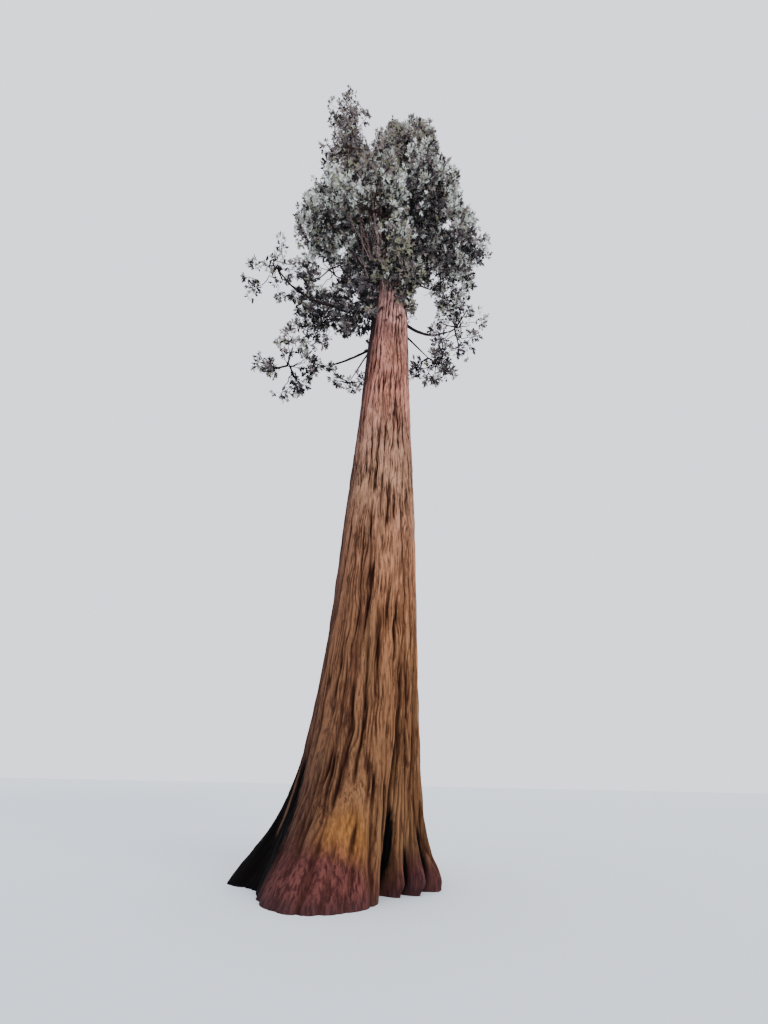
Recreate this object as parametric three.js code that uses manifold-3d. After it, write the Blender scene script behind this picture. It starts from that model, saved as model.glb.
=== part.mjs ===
import * as THREE from 'three';
import { mergeVertices } from 'three/addons/utils/BufferGeometryUtils.js';
import Module from 'manifold-3d';

// Giant sequoia, a whole tree rooted in level ground, at two thirds of the living tree's size
// Millimetres, +Z up, origin on the flat cut under the trunk, the view it is known by looks along +Y

// Overall sizes
const HEIGHT = 40000;
const SEED = 1000;
const WOOD_SAMPLES = 8;
const FIRST_SAMPLE = 3;
const PLAINNESS = 10;
const SHORTEST_EDGE = 0.1;
const TRUNK_TOP = 39100;
const CLEARANCE = 0.3;
const TRUNK_MARGIN = 70;
const BOUGH_MARGIN = 110;

// Trunk, a bole that tapers to the tip and flares at the ground
const BOLE_RADIUS = 800;
const BOLE_TAPER = 0.75;
const FLARE_RADIUS = 240;
const FLARE_HEIGHT = 1100;
const TIP_RADIUS = 22;
const TRUNK_SIDES = 36;
const TRUNK_RINGS = 18;
const RING_CROWDING = 1.9;
const LEAN_ACROSS = 0.016;
const LEAN_BACK = 0.012;
const FOOT_SHIFT = 200;
const FOOT_SHIFT_HEIGHT = 1800;

// Buttresses and the shallow hollow between them: angle, reach past the bole, half width, height
const BUTTRESS_SHOULDER = 1.4;
const BUTTRESSES = [
  { angle: 250, reach: 430, spread: 34, height: 900 },
  { angle: 180, reach: 470, spread: 15, height: 620 },
  { angle: 308, reach: -330, spread: 15, height: 700 },
  { angle: 330, reach: -120, spread: 9, height: 260 },
  { angle: 352, reach: 90, spread: 10, height: 320 },
  { angle: 40, reach: 260, spread: 22, height: 850 },
  { angle: 88, reach: 330, spread: 24, height: 950 },
  { angle: 134, reach: 240, spread: 20, height: 800 },
];

// Boughs and masses by tier, from the lowest up. Each tier gives the height its boughs leave the
// trunk, the rise from there to the heart of a mass, a mass's radius across and its half height,
// a bough's radius where it leaves and how far it sags. A row then gives compass angle, reach from
// the trunk's centre, a change to the rise, a scale for the mass, and whether the mass is dense
const TIERS = [
  {
    root: 12300, rise: 0, across: 1000, tall: 950, girth: 105, sag: 0.34, rows: {
      low_left: [168, 3300, -300, 1.0, false],
      low_right: [20, 1550, -200, 0.66, false],
      low_tuft: [145, 1500, -900, 0.6, false],
    },
  },
  {
    root: 13600, rise: 2700, across: 1250, tall: 1650, girth: 150, sag: 0.16, rows: {
      left: [190, 4350, -200, 0.95, false],
      left_inner: [157, 3000, -200, 0.95, true],
      right_outer: [28, 3000, -400, 0.95, false],
      front_tuft: [262, 1330, -300, 0.6, false],
    },
  },
  {
    root: 16400, rise: 3600, across: 1600, tall: 2450, girth: 140, sag: 0.1, rows: {
      front_left: [200, 2900, 0, 1.0, false],
      front: [250, 2000, -1200, 0.85, false],
      front_right: [308, 2050, 300, 0.9, true],
      right: [352, 2350, -1600, 0.85, true],
      back_right: [38, 2950, 200, 1.0, true],
      back: [85, 2800, 600, 1.05, true],
      back_left: [158, 3100, 200, 0.95, false],
    },
  },
  {
    root: 20800, rise: 3700, across: 1600, tall: 2550, girth: 120, sag: 0.1, rows: {
      upper_left: [187, 3250, 0, 1.0, false],
      upper_back_left: [132, 2950, 0, 1.05, true],
      upper_back: [75, 2800, 400, 1.05, true],
      upper_right: [8, 2350, 0, 1.0, true],
      upper_front: [283, 2150, -300, 0.88, true],
      upper_front_left: [226, 3100, -300, 0.78, false],
    },
  },
  {
    root: 25200, rise: 3900, across: 1550, tall: 2550, girth: 100, sag: 0.1, rows: {
      high_left: [178, 2600, 0, 1.0, false],
      high_back: [98, 2500, 200, 1.05, true],
      high_right: [18, 2200, 0, 1.0, true],
      high_front: [282, 1700, 0, 0.78, true],
    },
  },
  {
    root: 29600, rise: 3800, across: 1400, tall: 2500, girth: 80, sag: 0.1, rows: {
      top_back_left: [138, 2100, 0, 1.05, false],
      top_back_right: [52, 1900, 200, 1.05, true],
      top_right: [338, 1500, -100, 0.95, true],
      spire_low: [183, 2900, -400, 0.95, false],
    },
  },
  {
    root: 34600, rise: 3000, across: 1150, tall: 2300, girth: 55, sag: 0.1, rows: {
      crown_left: [190, 950, 0, 0.95, false],
      crown_right: [10, 850, 400, 1.1, true],
      spire_top: [201, 3750, -300, 0.9, false],
    },
  },
];

// The spire's bough is a second leader, so it leaves lower and is thicker than its tier's
const LEADERS = { spire_top: { root: 22800, girth: 150 }, spire_low: { root: 27600, girth: 90 } };
// Masses so near the trunk that their stem leaves the trunk itself
const STEM_REACH = 1400;
const TRUNK_STEM_SHARE = 0.42;
const ROOT_STEP = 360;
const ROOT_STRIDE = 3;
const STEM_DROP = 0.6;
const ROOT_DEPTH = 0.4;
const BEND = 0.62;
const LEADER_BEND = 0.55;
const BEND_RISE = 0.1;
const SHORTEST_BOUGH = 0.2;
const ENTRY_DEPTH = 0.7;
const BOUGH_SIDES = 5;
const BOUGH_RINGS = 4;
const BOUGH_TIP_SHARE = 0.42;
const COLLAR = 0.5;
const COLLAR_LENGTH = 0.1;

// A mass's own space: past a neighbour's skin, or nearer to it than to the neighbour by a margin
const OUTSIDE_DEPTH = 1.05;
const NEARER_SHARE = 1.08;
const NEARER_GAP = 0.03;

// Growth inside a mass, in shares of its ellipsoid
const STEM_SIDES = 3;
const STEM_RINGS = 1;
const STEM_SHARE = 0.85;
const STEM_END_SHARE = 0.35;
const TWIG_SIDES = 3;
const TWIG_RINGS = 2;
const TWIG_RADIUS = 40;
const TWIG_TIP_RADIUS = 24;
const TWIG_DEPTH = 0.6;
const TWIG_SAG = 0.1;
const JOSTLE = 0.3;
const OPEN_TWIGS = 3;
const OPEN_SPRAYS = 9;
const DENSE_SPRAYS = 10;
const SPRAY_DEPTH = 0.9;
const SPRAY_DEPTH_RANGE = 0.18;
const CORE_SHARE = 0.54;
const CORE_ROUGHNESS = 0.16;
const CORE_ROOT_DEPTH = 0.2;
const CORE_LEAST = 0.1;
const CORE_MARGIN = 1.12;
const CORE_STEP = 0.03;

// A spray stands for many cords of scale leaves: a thin blade on a slim tail, with two side points
const SPRAY_LENGTH = 0.72;
const SPRAY_HALF_WIDTH = 0.37;
const SPRAY_LIFT = 0.22;
const SPRAY_ROLL = 2.2;
const SPRAY_SHORTEST = 0.85;
const SPRAY_SPREAD = 0.3;
const SPRAY_TRIES = [1, 0.85, 0.7];
const SPRAY_THICKNESS = 0.05;
const SPRAY_FATTEST = 0.62;
// Half outline as shares of length and half width: the tail, a side point and the notch behind the tip
const SPRAY_OUTLINE = [[0.3, 0.2], [0.74, 1.0], [0.7, 0.4]];

const COLOURS = {
  bark: 0x8f5c45,
  bough: 0x6e5347,
  foliage: 0x5d6a55,
};

const wasm = await Module();
wasm.setup();

const UP = new THREE.Vector3(0, 0, 1);
const GOLDEN_ANGLE = Math.PI * (3 - Math.sqrt(5));

// Seeded numbers

// A repeatable stream of numbers from 0 to 1
function makeRandom(seed) {
  let state = seed >>> 0;
  return () => {
    state = (state + 0x6d2b79f5) >>> 0;
    let mixed = Math.imul(state ^ (state >>> 15), state | 1);
    mixed ^= mixed + Math.imul(mixed ^ (mixed >>> 7), mixed | 61);
    return ((mixed ^ (mixed >>> 14)) >>> 0) / 4294967296;
  };
}

// Trunk

function trunkCentre(z) {
  const across = LEAN_ACROSS * z + FOOT_SHIFT * (1 - Math.exp(-z / FOOT_SHIFT_HEIGHT));
  return new THREE.Vector3(across, LEAN_BACK * z, z);
}

function boleRadius(z) {
  const share = Math.max(1 - z / HEIGHT, 0);
  return BOLE_RADIUS * Math.pow(share, BOLE_TAPER) + FLARE_RADIUS * Math.exp(-z / FLARE_HEIGHT);
}

function buttress(angle, z) {
  let reach = 0;
  for (const lobe of BUTTRESSES) {
    const turn = THREE.MathUtils.euclideanModulo(angle - lobe.angle + 180, 360) - 180;
    const around = Math.exp(-((turn / lobe.spread) ** 2));
    reach += lobe.reach * around * Math.exp(-((z / lobe.height) ** BUTTRESS_SHOULDER));
  }
  return reach;
}

function trunkRadius(angle, z) {
  return Math.max(boleRadius(z) + buttress(angle, z), TIP_RADIUS);
}

// The trunk as one closed solid, its rings crowded towards the ground, grown outwards by a margin
function trunkSolid(grown) {
  const geometry = new THREE.CylinderGeometry(1, 1, 1, TRUNK_SIDES, TRUNK_RINGS);
  const position = geometry.getAttribute('position');
  const point = new THREE.Vector3();
  for (let i = 0; i < position.count; i++) {
    point.fromBufferAttribute(position, i);
    const ring = Math.round((point.y + 0.5) * TRUNK_RINGS);
    const z = TRUNK_TOP * (ring / TRUNK_RINGS) ** RING_CROWDING;
    const angle = THREE.MathUtils.radToDeg(Math.atan2(-point.z, point.x));
    const spread = Math.min(Math.hypot(point.x, point.z), 1);
    const radius = (trunkRadius(angle, z) + grown) * spread;
    const centre = trunkCentre(z);
    const turn = THREE.MathUtils.degToRad(angle);
    position.setXYZ(i, centre.x + radius * Math.cos(turn), centre.y + radius * Math.sin(turn), z);
  }
  return solidFrom(geometry);
}

// Solids

function solidFrom(geometry) {
  geometry.deleteAttribute('normal');
  geometry.deleteAttribute('uv');
  const merged = mergeVertices(geometry, 1e-3);
  return new wasm.Manifold(new wasm.Mesh({
    numProp: 3,
    vertProperties: new Float32Array(merged.getAttribute('position').array),
    triVerts: new Uint32Array(merged.getIndex().array),
  }));
}

function geometryFrom(solid) {
  const mesh = solid.getMesh();
  const geometry = new THREE.BufferGeometry();
  geometry.setAttribute('position', new THREE.BufferAttribute(mesh.vertProperties, 3));
  geometry.setIndex(new THREE.BufferAttribute(mesh.triVerts, 1));
  return geometry;
}

// The largest body of a solid without slivers, so that no loose scrap or sealed hollow is left.
// Corners that meet once they are rounded can part a thin neck, so it is looked at twice
function largestBody(solid) {
  let kept = solid;
  for (let pass = 0; pass < 2; pass++) {
    const bodies = solidFrom(geometryFrom(kept.simplify(SHORTEST_EDGE))).decompose();
    kept = bodies.reduce((best, body) => (body.volume() > best.volume() ? body : best));
  }
  return kept;
}

function meshFrom(name, solid, finish) {
  const geometry = geometryFrom(solid);
  geometry.computeVertexNormals();
  const part = new THREE.Mesh(geometry, finish);
  part.name = name;
  return part;
}

// A round limb with closed ends that follows a curve and tapers by a rule
function limbSolid(curve, sides, rings, radiusAt) {
  const geometry = new THREE.CylinderGeometry(1, 1, 1, sides, rings);
  const frames = curve.computeFrenetFrames(rings);
  const position = geometry.getAttribute('position');
  const point = new THREE.Vector3();
  for (let i = 0; i < position.count; i++) {
    point.fromBufferAttribute(position, i);
    const ring = Math.round((point.y + 0.5) * rings);
    const radius = radiusAt(ring / rings);
    const spot = curve.getPointAt(ring / rings);
    spot.addScaledVector(frames.normals[ring], point.x * radius);
    spot.addScaledVector(frames.binormals[ring], -point.z * radius);
    position.setXYZ(i, spot.x, spot.y, spot.z);
  }
  return solidFrom(geometry);
}

// Masses and the boughs that carry them

function compass(angle) {
  const turn = THREE.MathUtils.degToRad(angle);
  return new THREE.Vector3(Math.cos(turn), Math.sin(turn), 0);
}

// The boughs of a tier leave the trunk one above the other, in steps that keep neighbours apart
function rootHeight(tier, place) {
  const count = Object.keys(tier.rows).length;
  return tier.root + ROOT_STEP * ((place * ROOT_STRIDE) % (count + 1));
}

function planMass(tier, name, row, place, index) {
  const [angle, reach, lift, scale, dense] = row;
  const leader = LEADERS[name];
  const root = leader ? leader.root : rootHeight(tier, place);
  const heartHeight = tier.root + tier.rise + lift;
  const outward = compass(angle);
  const heart = trunkCentre(heartHeight).addScaledVector(outward, reach);
  const size = new THREE.Vector3(tier.across * scale, tier.across * scale, tier.tall * scale);
  const onTrunk = reach < STEM_REACH;
  const girth = leader ? leader.girth : tier.girth;
  return {
    name, index, outward, heart, size, dense, onTrunk, root, girth, sag: tier.sag, leader: Boolean(leader),
  };
}

const masses = [];
for (const tier of TIERS) {
  Object.entries(tier.rows).forEach(([name, row], place) => {
    masses.push(planMass(tier, name, row, place, masses.length));
  });
}

// How far out a point lies in a mass, 1 on its surface
function depthIn(mass, point) {
  const offset = point.clone().sub(mass.heart).divide(mass.size);
  return offset.length();
}

// A limb leaves the trunk nearly level, sags and turns up into its mass, a leader turns up at once.
// Gives the curve from inside the trunk to the mass's heart, and the share of it outside the mass
function limbCurve(mass) {
  const base = trunkCentre(mass.onTrunk ? mass.heart.z - mass.size.z * STEM_DROP : mass.root);
  const start = base.clone().addScaledVector(mass.outward, boleRadius(base.z) * ROOT_DEPTH);
  const run = mass.heart.clone().sub(base).setZ(0).length();
  const bend = base.clone().addScaledVector(mass.outward, run * (mass.leader ? LEADER_BEND : BEND));
  bend.z += (mass.heart.z - base.z) * BEND_RISE - (mass.leader ? 0 : run * mass.sag);
  const whole = new THREE.QuadraticBezierCurve3(start, bend, mass.heart.clone());
  let share = 1;
  while (share > SHORTEST_BOUGH && depthIn(mass, whole.getPoint(share)) < ENTRY_DEPTH) {
    share -= 0.01;
  }
  return { whole, share };
}

// The first part of a curve, up to a share of it
function firstPart(curve, share) {
  const bend = curve.v0.clone().lerp(curve.v1, share);
  return new THREE.QuadraticBezierCurve3(curve.v0.clone(), bend, curve.getPoint(share));
}

// The rest of a curve, from a share of it on, moved along by the clearance
function lastPart(curve, share) {
  const start = curve.getPoint(share).addScaledVector(curve.getTangent(share), CLEARANCE);
  const bend = curve.v1.clone().lerp(curve.v2, share);
  return new THREE.QuadraticBezierCurve3(start, bend, curve.v2.clone());
}

for (const mass of masses) {
  const { whole, share } = limbCurve(mass);
  mass.bough = mass.onTrunk ? null : firstPart(whole, share);
  mass.stem = mass.onTrunk ? whole : lastPart(whole, share);
}

function boughRadius(mass, share) {
  const taper = THREE.MathUtils.lerp(1, BOUGH_TIP_SHARE, share);
  return mass.girth * (taper + COLLAR * Math.exp(-share / COLLAR_LENGTH));
}

// Points along every bough, for keeping twigs and sprays off them
const BOUGH_SAMPLES = 24;
const boughPoints = [];
for (const mass of masses.filter((each) => each.bough)) {
  for (let i = 0; i <= BOUGH_SAMPLES; i++) {
    const share = i / BOUGH_SAMPLES;
    boughPoints.push({ spot: mass.bough.getPointAt(share), radius: boughRadius(mass, share) });
  }
}

function clearOfLimbs(point) {
  const centre = trunkCentre(point.z);
  const gap = Math.hypot(point.x - centre.x, point.y - centre.y);
  if (point.z < TRUNK_TOP + TRUNK_MARGIN && gap < boleRadius(point.z) + TRUNK_MARGIN) {
    return false;
  }
  return boughPoints.every(({ spot, radius }) => spot.distanceTo(point) > radius + BOUGH_MARGIN);
}

// Inside this mass's own space: in its ellipsoid, nearer to it than to any other, under the top
function inOwnSpace(mass, point) {
  const own = depthIn(mass, point);
  if (own > 1 || point.z > HEIGHT) {
    return false;
  }
  return masses.every((other) => {
    if (other === mass) {
      return true;
    }
    const away = depthIn(other, point);
    return away > OUTSIDE_DEPTH || away > own * NEARER_SHARE + NEARER_GAP;
  });
}

// Growth of a mass

// Directions spread evenly over a ball, turned and jostled by the seed
function evenDirections(count, random) {
  const directions = [];
  const turn = random() * Math.PI * 2;
  for (let i = 0; i < count; i++) {
    const height = 1 - (2 * i + 1) / count;
    const ring = Math.sqrt(1 - height * height);
    const angle = turn + i * GOLDEN_ANGLE;
    const direction = new THREE.Vector3(ring * Math.cos(angle), ring * Math.sin(angle), height);
    direction.x += (random() - 0.5) * JOSTLE;
    direction.y += (random() - 0.5) * JOSTLE;
    direction.z += (random() - 0.5) * JOSTLE;
    directions.push(direction.normalize());
  }
  return directions;
}

function placeIn(mass, direction, depth) {
  return direction.clone().multiply(mass.size).multiplyScalar(depth).add(mass.heart);
}

// The point on the grown wood that is nearest to a target
function nearestWood(wood, target) {
  return wood.reduce((best, spot) => (spot.distanceTo(target) < best.distanceTo(target) ? spot : best));
}

// A twig sags first and turns up last
function twigCurve(from, to) {
  const bend = from.clone().lerp(to, 0.5);
  bend.z -= from.distanceTo(to) * TWIG_SAG;
  return new THREE.QuadraticBezierCurve3(from, bend, to);
}

// Places along a twig that others may grow from, past its own root and short of its tip
function sampleWood(curve) {
  return curve.getSpacedPoints(WOOD_SAMPLES).slice(FIRST_SAMPLE, -1);
}

function fits(mass, points) {
  return points.every((point) => inOwnSpace(mass, point) && clearOfLimbs(point));
}

// A spray's outline from its root to its tip, and the high points of its two broad faces
function sprayPoints(foot, tip, halfWidth, roll) {
  const along = tip.clone().sub(foot);
  const length = along.length();
  along.normalize();
  const side = new THREE.Vector3().crossVectors(along, UP).normalize().applyAxisAngle(along, roll);
  const face = new THREE.Vector3().crossVectors(side, along).normalize();
  const at = (forward, sideways) => foot.clone()
    .addScaledVector(along, length * forward)
    .addScaledVector(side, halfWidth * sideways);
  const right = SPRAY_OUTLINE.map(([forward, half]) => at(forward, half));
  const left = SPRAY_OUTLINE.map(([forward, half]) => at(forward, -half)).reverse();
  const rim = [foot.clone(), ...right, tip.clone(), ...left];
  const bulge = face.multiplyScalar(length * SPRAY_THICKNESS);
  const middle = at(SPRAY_FATTEST, 0);
  return { rim, front: middle.clone().add(bulge), back: middle.clone().sub(bulge) };
}

// The corners, edge middles and high points of a spray
function rimChecks({ rim, front, back }) {
  const middles = rim.map((corner, i) => corner.clone().lerp(rim[(i + 1) % rim.length], 0.5));
  return [front, back, ...rim, ...middles];
}

function spraySolid({ rim, front, back }) {
  const vertices = [...rim, front, back].flatMap((point) => point.toArray());
  const faces = [];
  const frontIndex = rim.length;
  for (let i = 0; i < rim.length; i++) {
    const next = (i + 1) % rim.length;
    faces.push(i, next, frontIndex, next, i, frontIndex + 1);
  }
  const geometry = new THREE.BufferGeometry();
  geometry.setAttribute('position', new THREE.Float32BufferAttribute(vertices, 3));
  geometry.setIndex(faces);
  return solidFrom(geometry);
}

// A dense mass's inner body, its corners pushed in and out, kept inside the mass's own space
function coreSolid(mass, random) {
  const geometry = new THREE.IcosahedronGeometry(1, 1);
  const merged = mergeVertices(geometry.deleteAttribute('normal').deleteAttribute('uv'), 1e-3);
  const position = merged.getAttribute('position');
  const point = new THREE.Vector3();
  for (let i = 0; i < position.count; i++) {
    const direction = point.fromBufferAttribute(position, i).clone().normalize();
    let depth = CORE_SHARE * (1 + (random() - 0.5) * 2 * CORE_ROUGHNESS);
    while (depth > CORE_LEAST && !inOwnSpace(mass, placeIn(mass, direction, depth * CORE_MARGIN))) {
      depth -= CORE_STEP;
    }
    const spot = placeIn(mass, direction, depth);
    position.setXYZ(i, spot.x, spot.y, spot.z);
  }
  return solidFrom(merged);
}

// Every spray of a mass with the twigs that reach it, fused to one stem
function growMass(mass, limbs) {
  const random = makeRandom(SEED + mass.index);
  const stemStart = mass.girth * (mass.onTrunk ? TRUNK_STEM_SHARE : BOUGH_TIP_SHARE * STEM_SHARE);
  const stemRadius = (share) => stemStart * THREE.MathUtils.lerp(1, STEM_END_SHARE, share);
  const pieces = [limbSolid(mass.stem, STEM_SIDES, STEM_RINGS, stemRadius)];
  const wood = sampleWood(mass.stem);
  if (mass.dense) {
    pieces.push(coreSolid(mass, random));
  } else {
    growTwigs(mass, random, pieces, wood);
  }
  growSprays(mass, random, pieces, wood);
  let solid = wasm.Manifold.union(pieces).simplify(PLAINNESS);
  for (const limb of limbs) {
    solid = solid.subtract(limb);
  }
  return largestBody(solid);
}

function growTwigs(mass, random, pieces, wood) {
  const stemWood = wood.slice();
  const radiusAt = (share) => THREE.MathUtils.lerp(TWIG_RADIUS, TWIG_TIP_RADIUS, share);
  for (const direction of evenDirections(OPEN_TWIGS, random)) {
    const tip = placeIn(mass, direction, TWIG_DEPTH);
    const curve = twigCurve(nearestWood(stemWood, tip).clone(), tip);
    if (fits(mass, curve.getSpacedPoints(6).slice(2))) {
      pieces.push(limbSolid(curve, TWIG_SIDES, TWIG_RINGS, radiusAt));
      wood.push(...sampleWood(curve));
    }
  }
}

// A spray that would leave the mass's space is tried again shorter
function growSprays(mass, random, pieces, wood) {
  const reach = Math.sqrt(mass.size.x * mass.size.z);
  for (const direction of evenDirections(mass.dense ? DENSE_SPRAYS : OPEN_SPRAYS, random)) {
    const fullDepth = SPRAY_DEPTH + (random() - 0.5) * SPRAY_DEPTH_RANGE;
    const length = reach * SPRAY_LENGTH * (SPRAY_SHORTEST + random() * SPRAY_SPREAD);
    const roll = (random() - 0.5) * SPRAY_ROLL;
    for (const share of SPRAY_TRIES) {
      const tip = placeIn(mass, direction, fullDepth * share);
      const back = tip.clone().addScaledVector(direction, -length);
      back.z -= length * SPRAY_LIFT;
      const root = mass.dense ? placeIn(mass, direction, CORE_ROOT_DEPTH) : nearestWood(wood, back);
      const foot = root.clone().addScaledVector(tip.clone().sub(root).normalize(), -TWIG_TIP_RADIUS);
      const spray = sprayPoints(foot, tip, reach * SPRAY_HALF_WIDTH * share, roll);
      const sunk = mass.dense ? mass.size.length() * CORE_ROOT_DEPTH : TWIG_RADIUS * 2;
      if (fits(mass, rimChecks(spray).filter((point) => point.distanceTo(foot) > sunk))) {
        pieces.push(spraySolid(spray));
        break;
      }
    }
  }
}

// Assembly

function material(colour, roughness) {
  return new THREE.MeshStandardMaterial({ color: colour, roughness, metalness: 0 });
}

const tree = new THREE.Group();
tree.name = 'giant_sequoia';
tree.add(meshFrom('trunk', trunkSolid(0), material(COLOURS.bark, 0.9)));

const clearTrunk = trunkSolid(CLEARANCE);
const clearBoughs = [];
for (const mass of masses.filter((each) => each.bough)) {
  const grow = (margin) => limbSolid(mass.bough, BOUGH_SIDES, BOUGH_RINGS, (share) => (
    boughRadius(mass, share) + margin
  ));
  const bough = largestBody(grow(0).subtract(clearTrunk));
  tree.add(meshFrom(`bough_${mass.name}`, bough, material(COLOURS.bough, 0.9)));
  clearBoughs.push({ mass, solid: grow(CLEARANCE) });
}
for (const mass of masses) {
  const limbs = [clearTrunk, ...clearBoughs.filter((each) => each.mass !== mass).map((each) => each.solid)];
  tree.add(meshFrom(`foliage_${mass.name}`, growMass(mass, limbs), material(COLOURS.foliage, 0.85)));
}

export default tree;
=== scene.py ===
"""Giant sequoia, a whole tree: fluted bole, long boughs and a crown of tufted, frost-pale sprays."""

import logging
import math
from collections.abc import Iterable, Sequence
from dataclasses import dataclass, field
from enum import Enum

import bpy
import numpy as np
from mathutils import Matrix, Vector, noise
from numpy.typing import NDArray


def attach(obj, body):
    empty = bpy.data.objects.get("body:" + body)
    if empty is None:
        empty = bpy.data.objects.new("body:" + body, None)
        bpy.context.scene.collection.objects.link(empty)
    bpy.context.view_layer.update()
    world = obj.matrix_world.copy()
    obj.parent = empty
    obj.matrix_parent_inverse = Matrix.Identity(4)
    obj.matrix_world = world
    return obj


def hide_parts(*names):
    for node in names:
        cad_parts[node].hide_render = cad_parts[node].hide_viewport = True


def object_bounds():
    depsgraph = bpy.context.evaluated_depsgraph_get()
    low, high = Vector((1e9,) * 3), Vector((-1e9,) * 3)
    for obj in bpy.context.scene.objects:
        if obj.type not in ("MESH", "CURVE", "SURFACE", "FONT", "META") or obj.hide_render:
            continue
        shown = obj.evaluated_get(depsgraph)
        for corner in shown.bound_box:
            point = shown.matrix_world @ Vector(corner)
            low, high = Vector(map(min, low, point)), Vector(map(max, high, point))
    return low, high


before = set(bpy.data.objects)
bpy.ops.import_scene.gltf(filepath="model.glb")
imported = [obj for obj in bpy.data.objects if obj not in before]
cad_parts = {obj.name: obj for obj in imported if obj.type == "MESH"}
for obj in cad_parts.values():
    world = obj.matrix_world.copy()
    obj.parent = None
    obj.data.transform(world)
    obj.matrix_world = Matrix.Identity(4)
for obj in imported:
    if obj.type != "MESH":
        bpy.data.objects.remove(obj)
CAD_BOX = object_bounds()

Array = NDArray[np.float64]
Faces = list[tuple[int, ...]]
Tree = bpy.types.NodeTree
Socket = bpy.types.NodeSocket
Pair = tuple[float, float]
Triple = tuple[float, float, float]
Stops = tuple[tuple[float, str], ...]

LOG = logging.getLogger("sequoia")
BODY = "root"
UP = np.array([0.0, 0.0, 1.0])
GOLDEN_ANGLE = math.pi * (3 - math.sqrt(5))

# Where a viewer stands in front of the tree, in metres
EYE = np.array([0.37, -6.67, 1.07])

# A piece past 200,000 triangles is thinned, so each stays under this
PIECE_TRIANGLES = 190_000

# Mask of a 32-bit word, and the step from one number of a seeded stream to the next
WORD = 0xFFFFFFFF
STREAM_STEP = 0x6D2B79F5

# Shortest length, so that nothing is divided by zero
TINY = 1e-9

# A path that climbs more steeply than this share of UP starts its frame from SIDEWAYS
STEEP = 0.9
SIDEWAYS = np.array([1.0, 0.0, 0.0])

# Two ways close to UP, a little off it, so that no tuft and no spray points just along them
TUFT_UP = UP + np.array([0.01, 0.02, 0.0])
SPRAY_UP = UP + np.array([0.02, 0.01, 0.0])


# Numbers and noise


def linear(code: str) -> tuple[float, float, float, float]:
    """Turns an sRGB hex colour into the linear values that a shader takes, by the sRGB curve.

    Args:
        code: Colour as six hex digits after a hash sign.

    Returns:
        Red, green, blue and an alpha of 1.
    """
    channels = [int(code[i:i + 2], 16) / 255 for i in (1, 3, 5)]
    lit = [c / 12.92 if c <= 0.04045 else ((c + 0.055) / 1.055) ** 2.4 for c in channels]
    return (lit[0], lit[1], lit[2], 1.0)


@dataclass(frozen=True)
class Grain:
    """Smooth noise: the size of its cells in metres, and a shift that gives each use its own pattern."""

    cell: Triple
    shift: float

    def at(self, points: Array) -> Array:
        """Noise at each place, one place a row, about -1 to 1."""
        scaled = points / np.array(self.cell) + self.shift
        return np.array([noise.noise(Vector(row)) for row in scaled.tolist()])


def compass(angle: float) -> Array:
    """Level unit vector at a compass angle in degrees from +X."""
    turn = math.radians(angle)
    return np.array([math.cos(turn), math.sin(turn), 0.0])


def turned(angle: Array, middle: float) -> Array:
    """Turn from a middle angle to each compass angle, in degrees from -180 to 180."""
    return (angle - middle + 180) % 360 - 180


def unit(vectors: Array) -> Array:
    """Vectors scaled to a length of 1, along the last axis."""
    return vectors / np.maximum(np.linalg.norm(vectors, axis=-1, keepdims=True), TINY)


class SeededStream:
    """Repeatable numbers from 0 to 1, the same stream that shapes the solid crown."""

    def __init__(self, seed: int) -> None:
        """Starts the stream.

        Args:
            seed: Whole number that fixes the stream.
        """
        self.state = seed & WORD

    def __call__(self) -> float:
        """Next number of the stream, by the same shifts and factors as in the solid crown."""
        self.state = (self.state + STREAM_STEP) & WORD
        mixed = ((self.state ^ (self.state >> 15)) * (self.state | 1)) & WORD
        mixed ^= (mixed + (mixed ^ (mixed >> 7)) * (mixed | 61)) & WORD
        return (mixed ^ (mixed >> 14)) / (WORD + 1)


# Node and mesh helpers


def add_node(
    tree: Tree,
    kind: str,
    inputs: dict[str | int, object] | None = None,
    **settings: object,
) -> bpy.types.Node:
    """Adds a node, makes its settings and feeds its inputs.

    Args:
        tree: Node tree that gets the node.
        kind: Blender's type name of the node.
        inputs: For an input's name or number, a value or the socket linked to it.
        **settings: The node's own properties.

    Returns:
        The new node.
    """
    node = tree.nodes.new(kind)
    for key, value in settings.items():
        setattr(node, key, value)
    for key, value in (inputs or {}).items():
        if isinstance(value, Socket):
            tree.links.new(value, node.inputs[key])
        else:
            node.inputs[key].default_value = value
    return node


def link_object(name: str, data: bpy.types.ID) -> bpy.types.Object:
    """Puts a mesh, a light or a camera into the scene, at the origin."""
    made = bpy.data.objects.new(name, data)
    bpy.context.scene.collection.objects.link(made)
    return made


def tube_faces(rings: int, sides: int) -> Faces:
    """Faces of a closed tube whose two end points come after its rings.

    Args:
        rings: Number of rings, from the root to the tip.
        sides: Number of corners in a ring, counted anticlockwise seen from the tip.

    Returns:
        Quads between rings and a fan at each end, all facing outwards.
    """
    faces: Faces = []
    for ring in range(rings - 1):
        low = ring * sides
        for side in range(sides):
            after = (side + 1) % sides
            faces.append((low + side, low + after, low + sides + after, low + sides + side))
    last = (rings - 1) * sides
    root, tip = rings * sides, rings * sides + 1
    for side in range(sides):
        after = (side + 1) % sides
        faces.append((root, after, side))
        faces.append((tip, last + side, last + after))
    return faces


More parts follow.
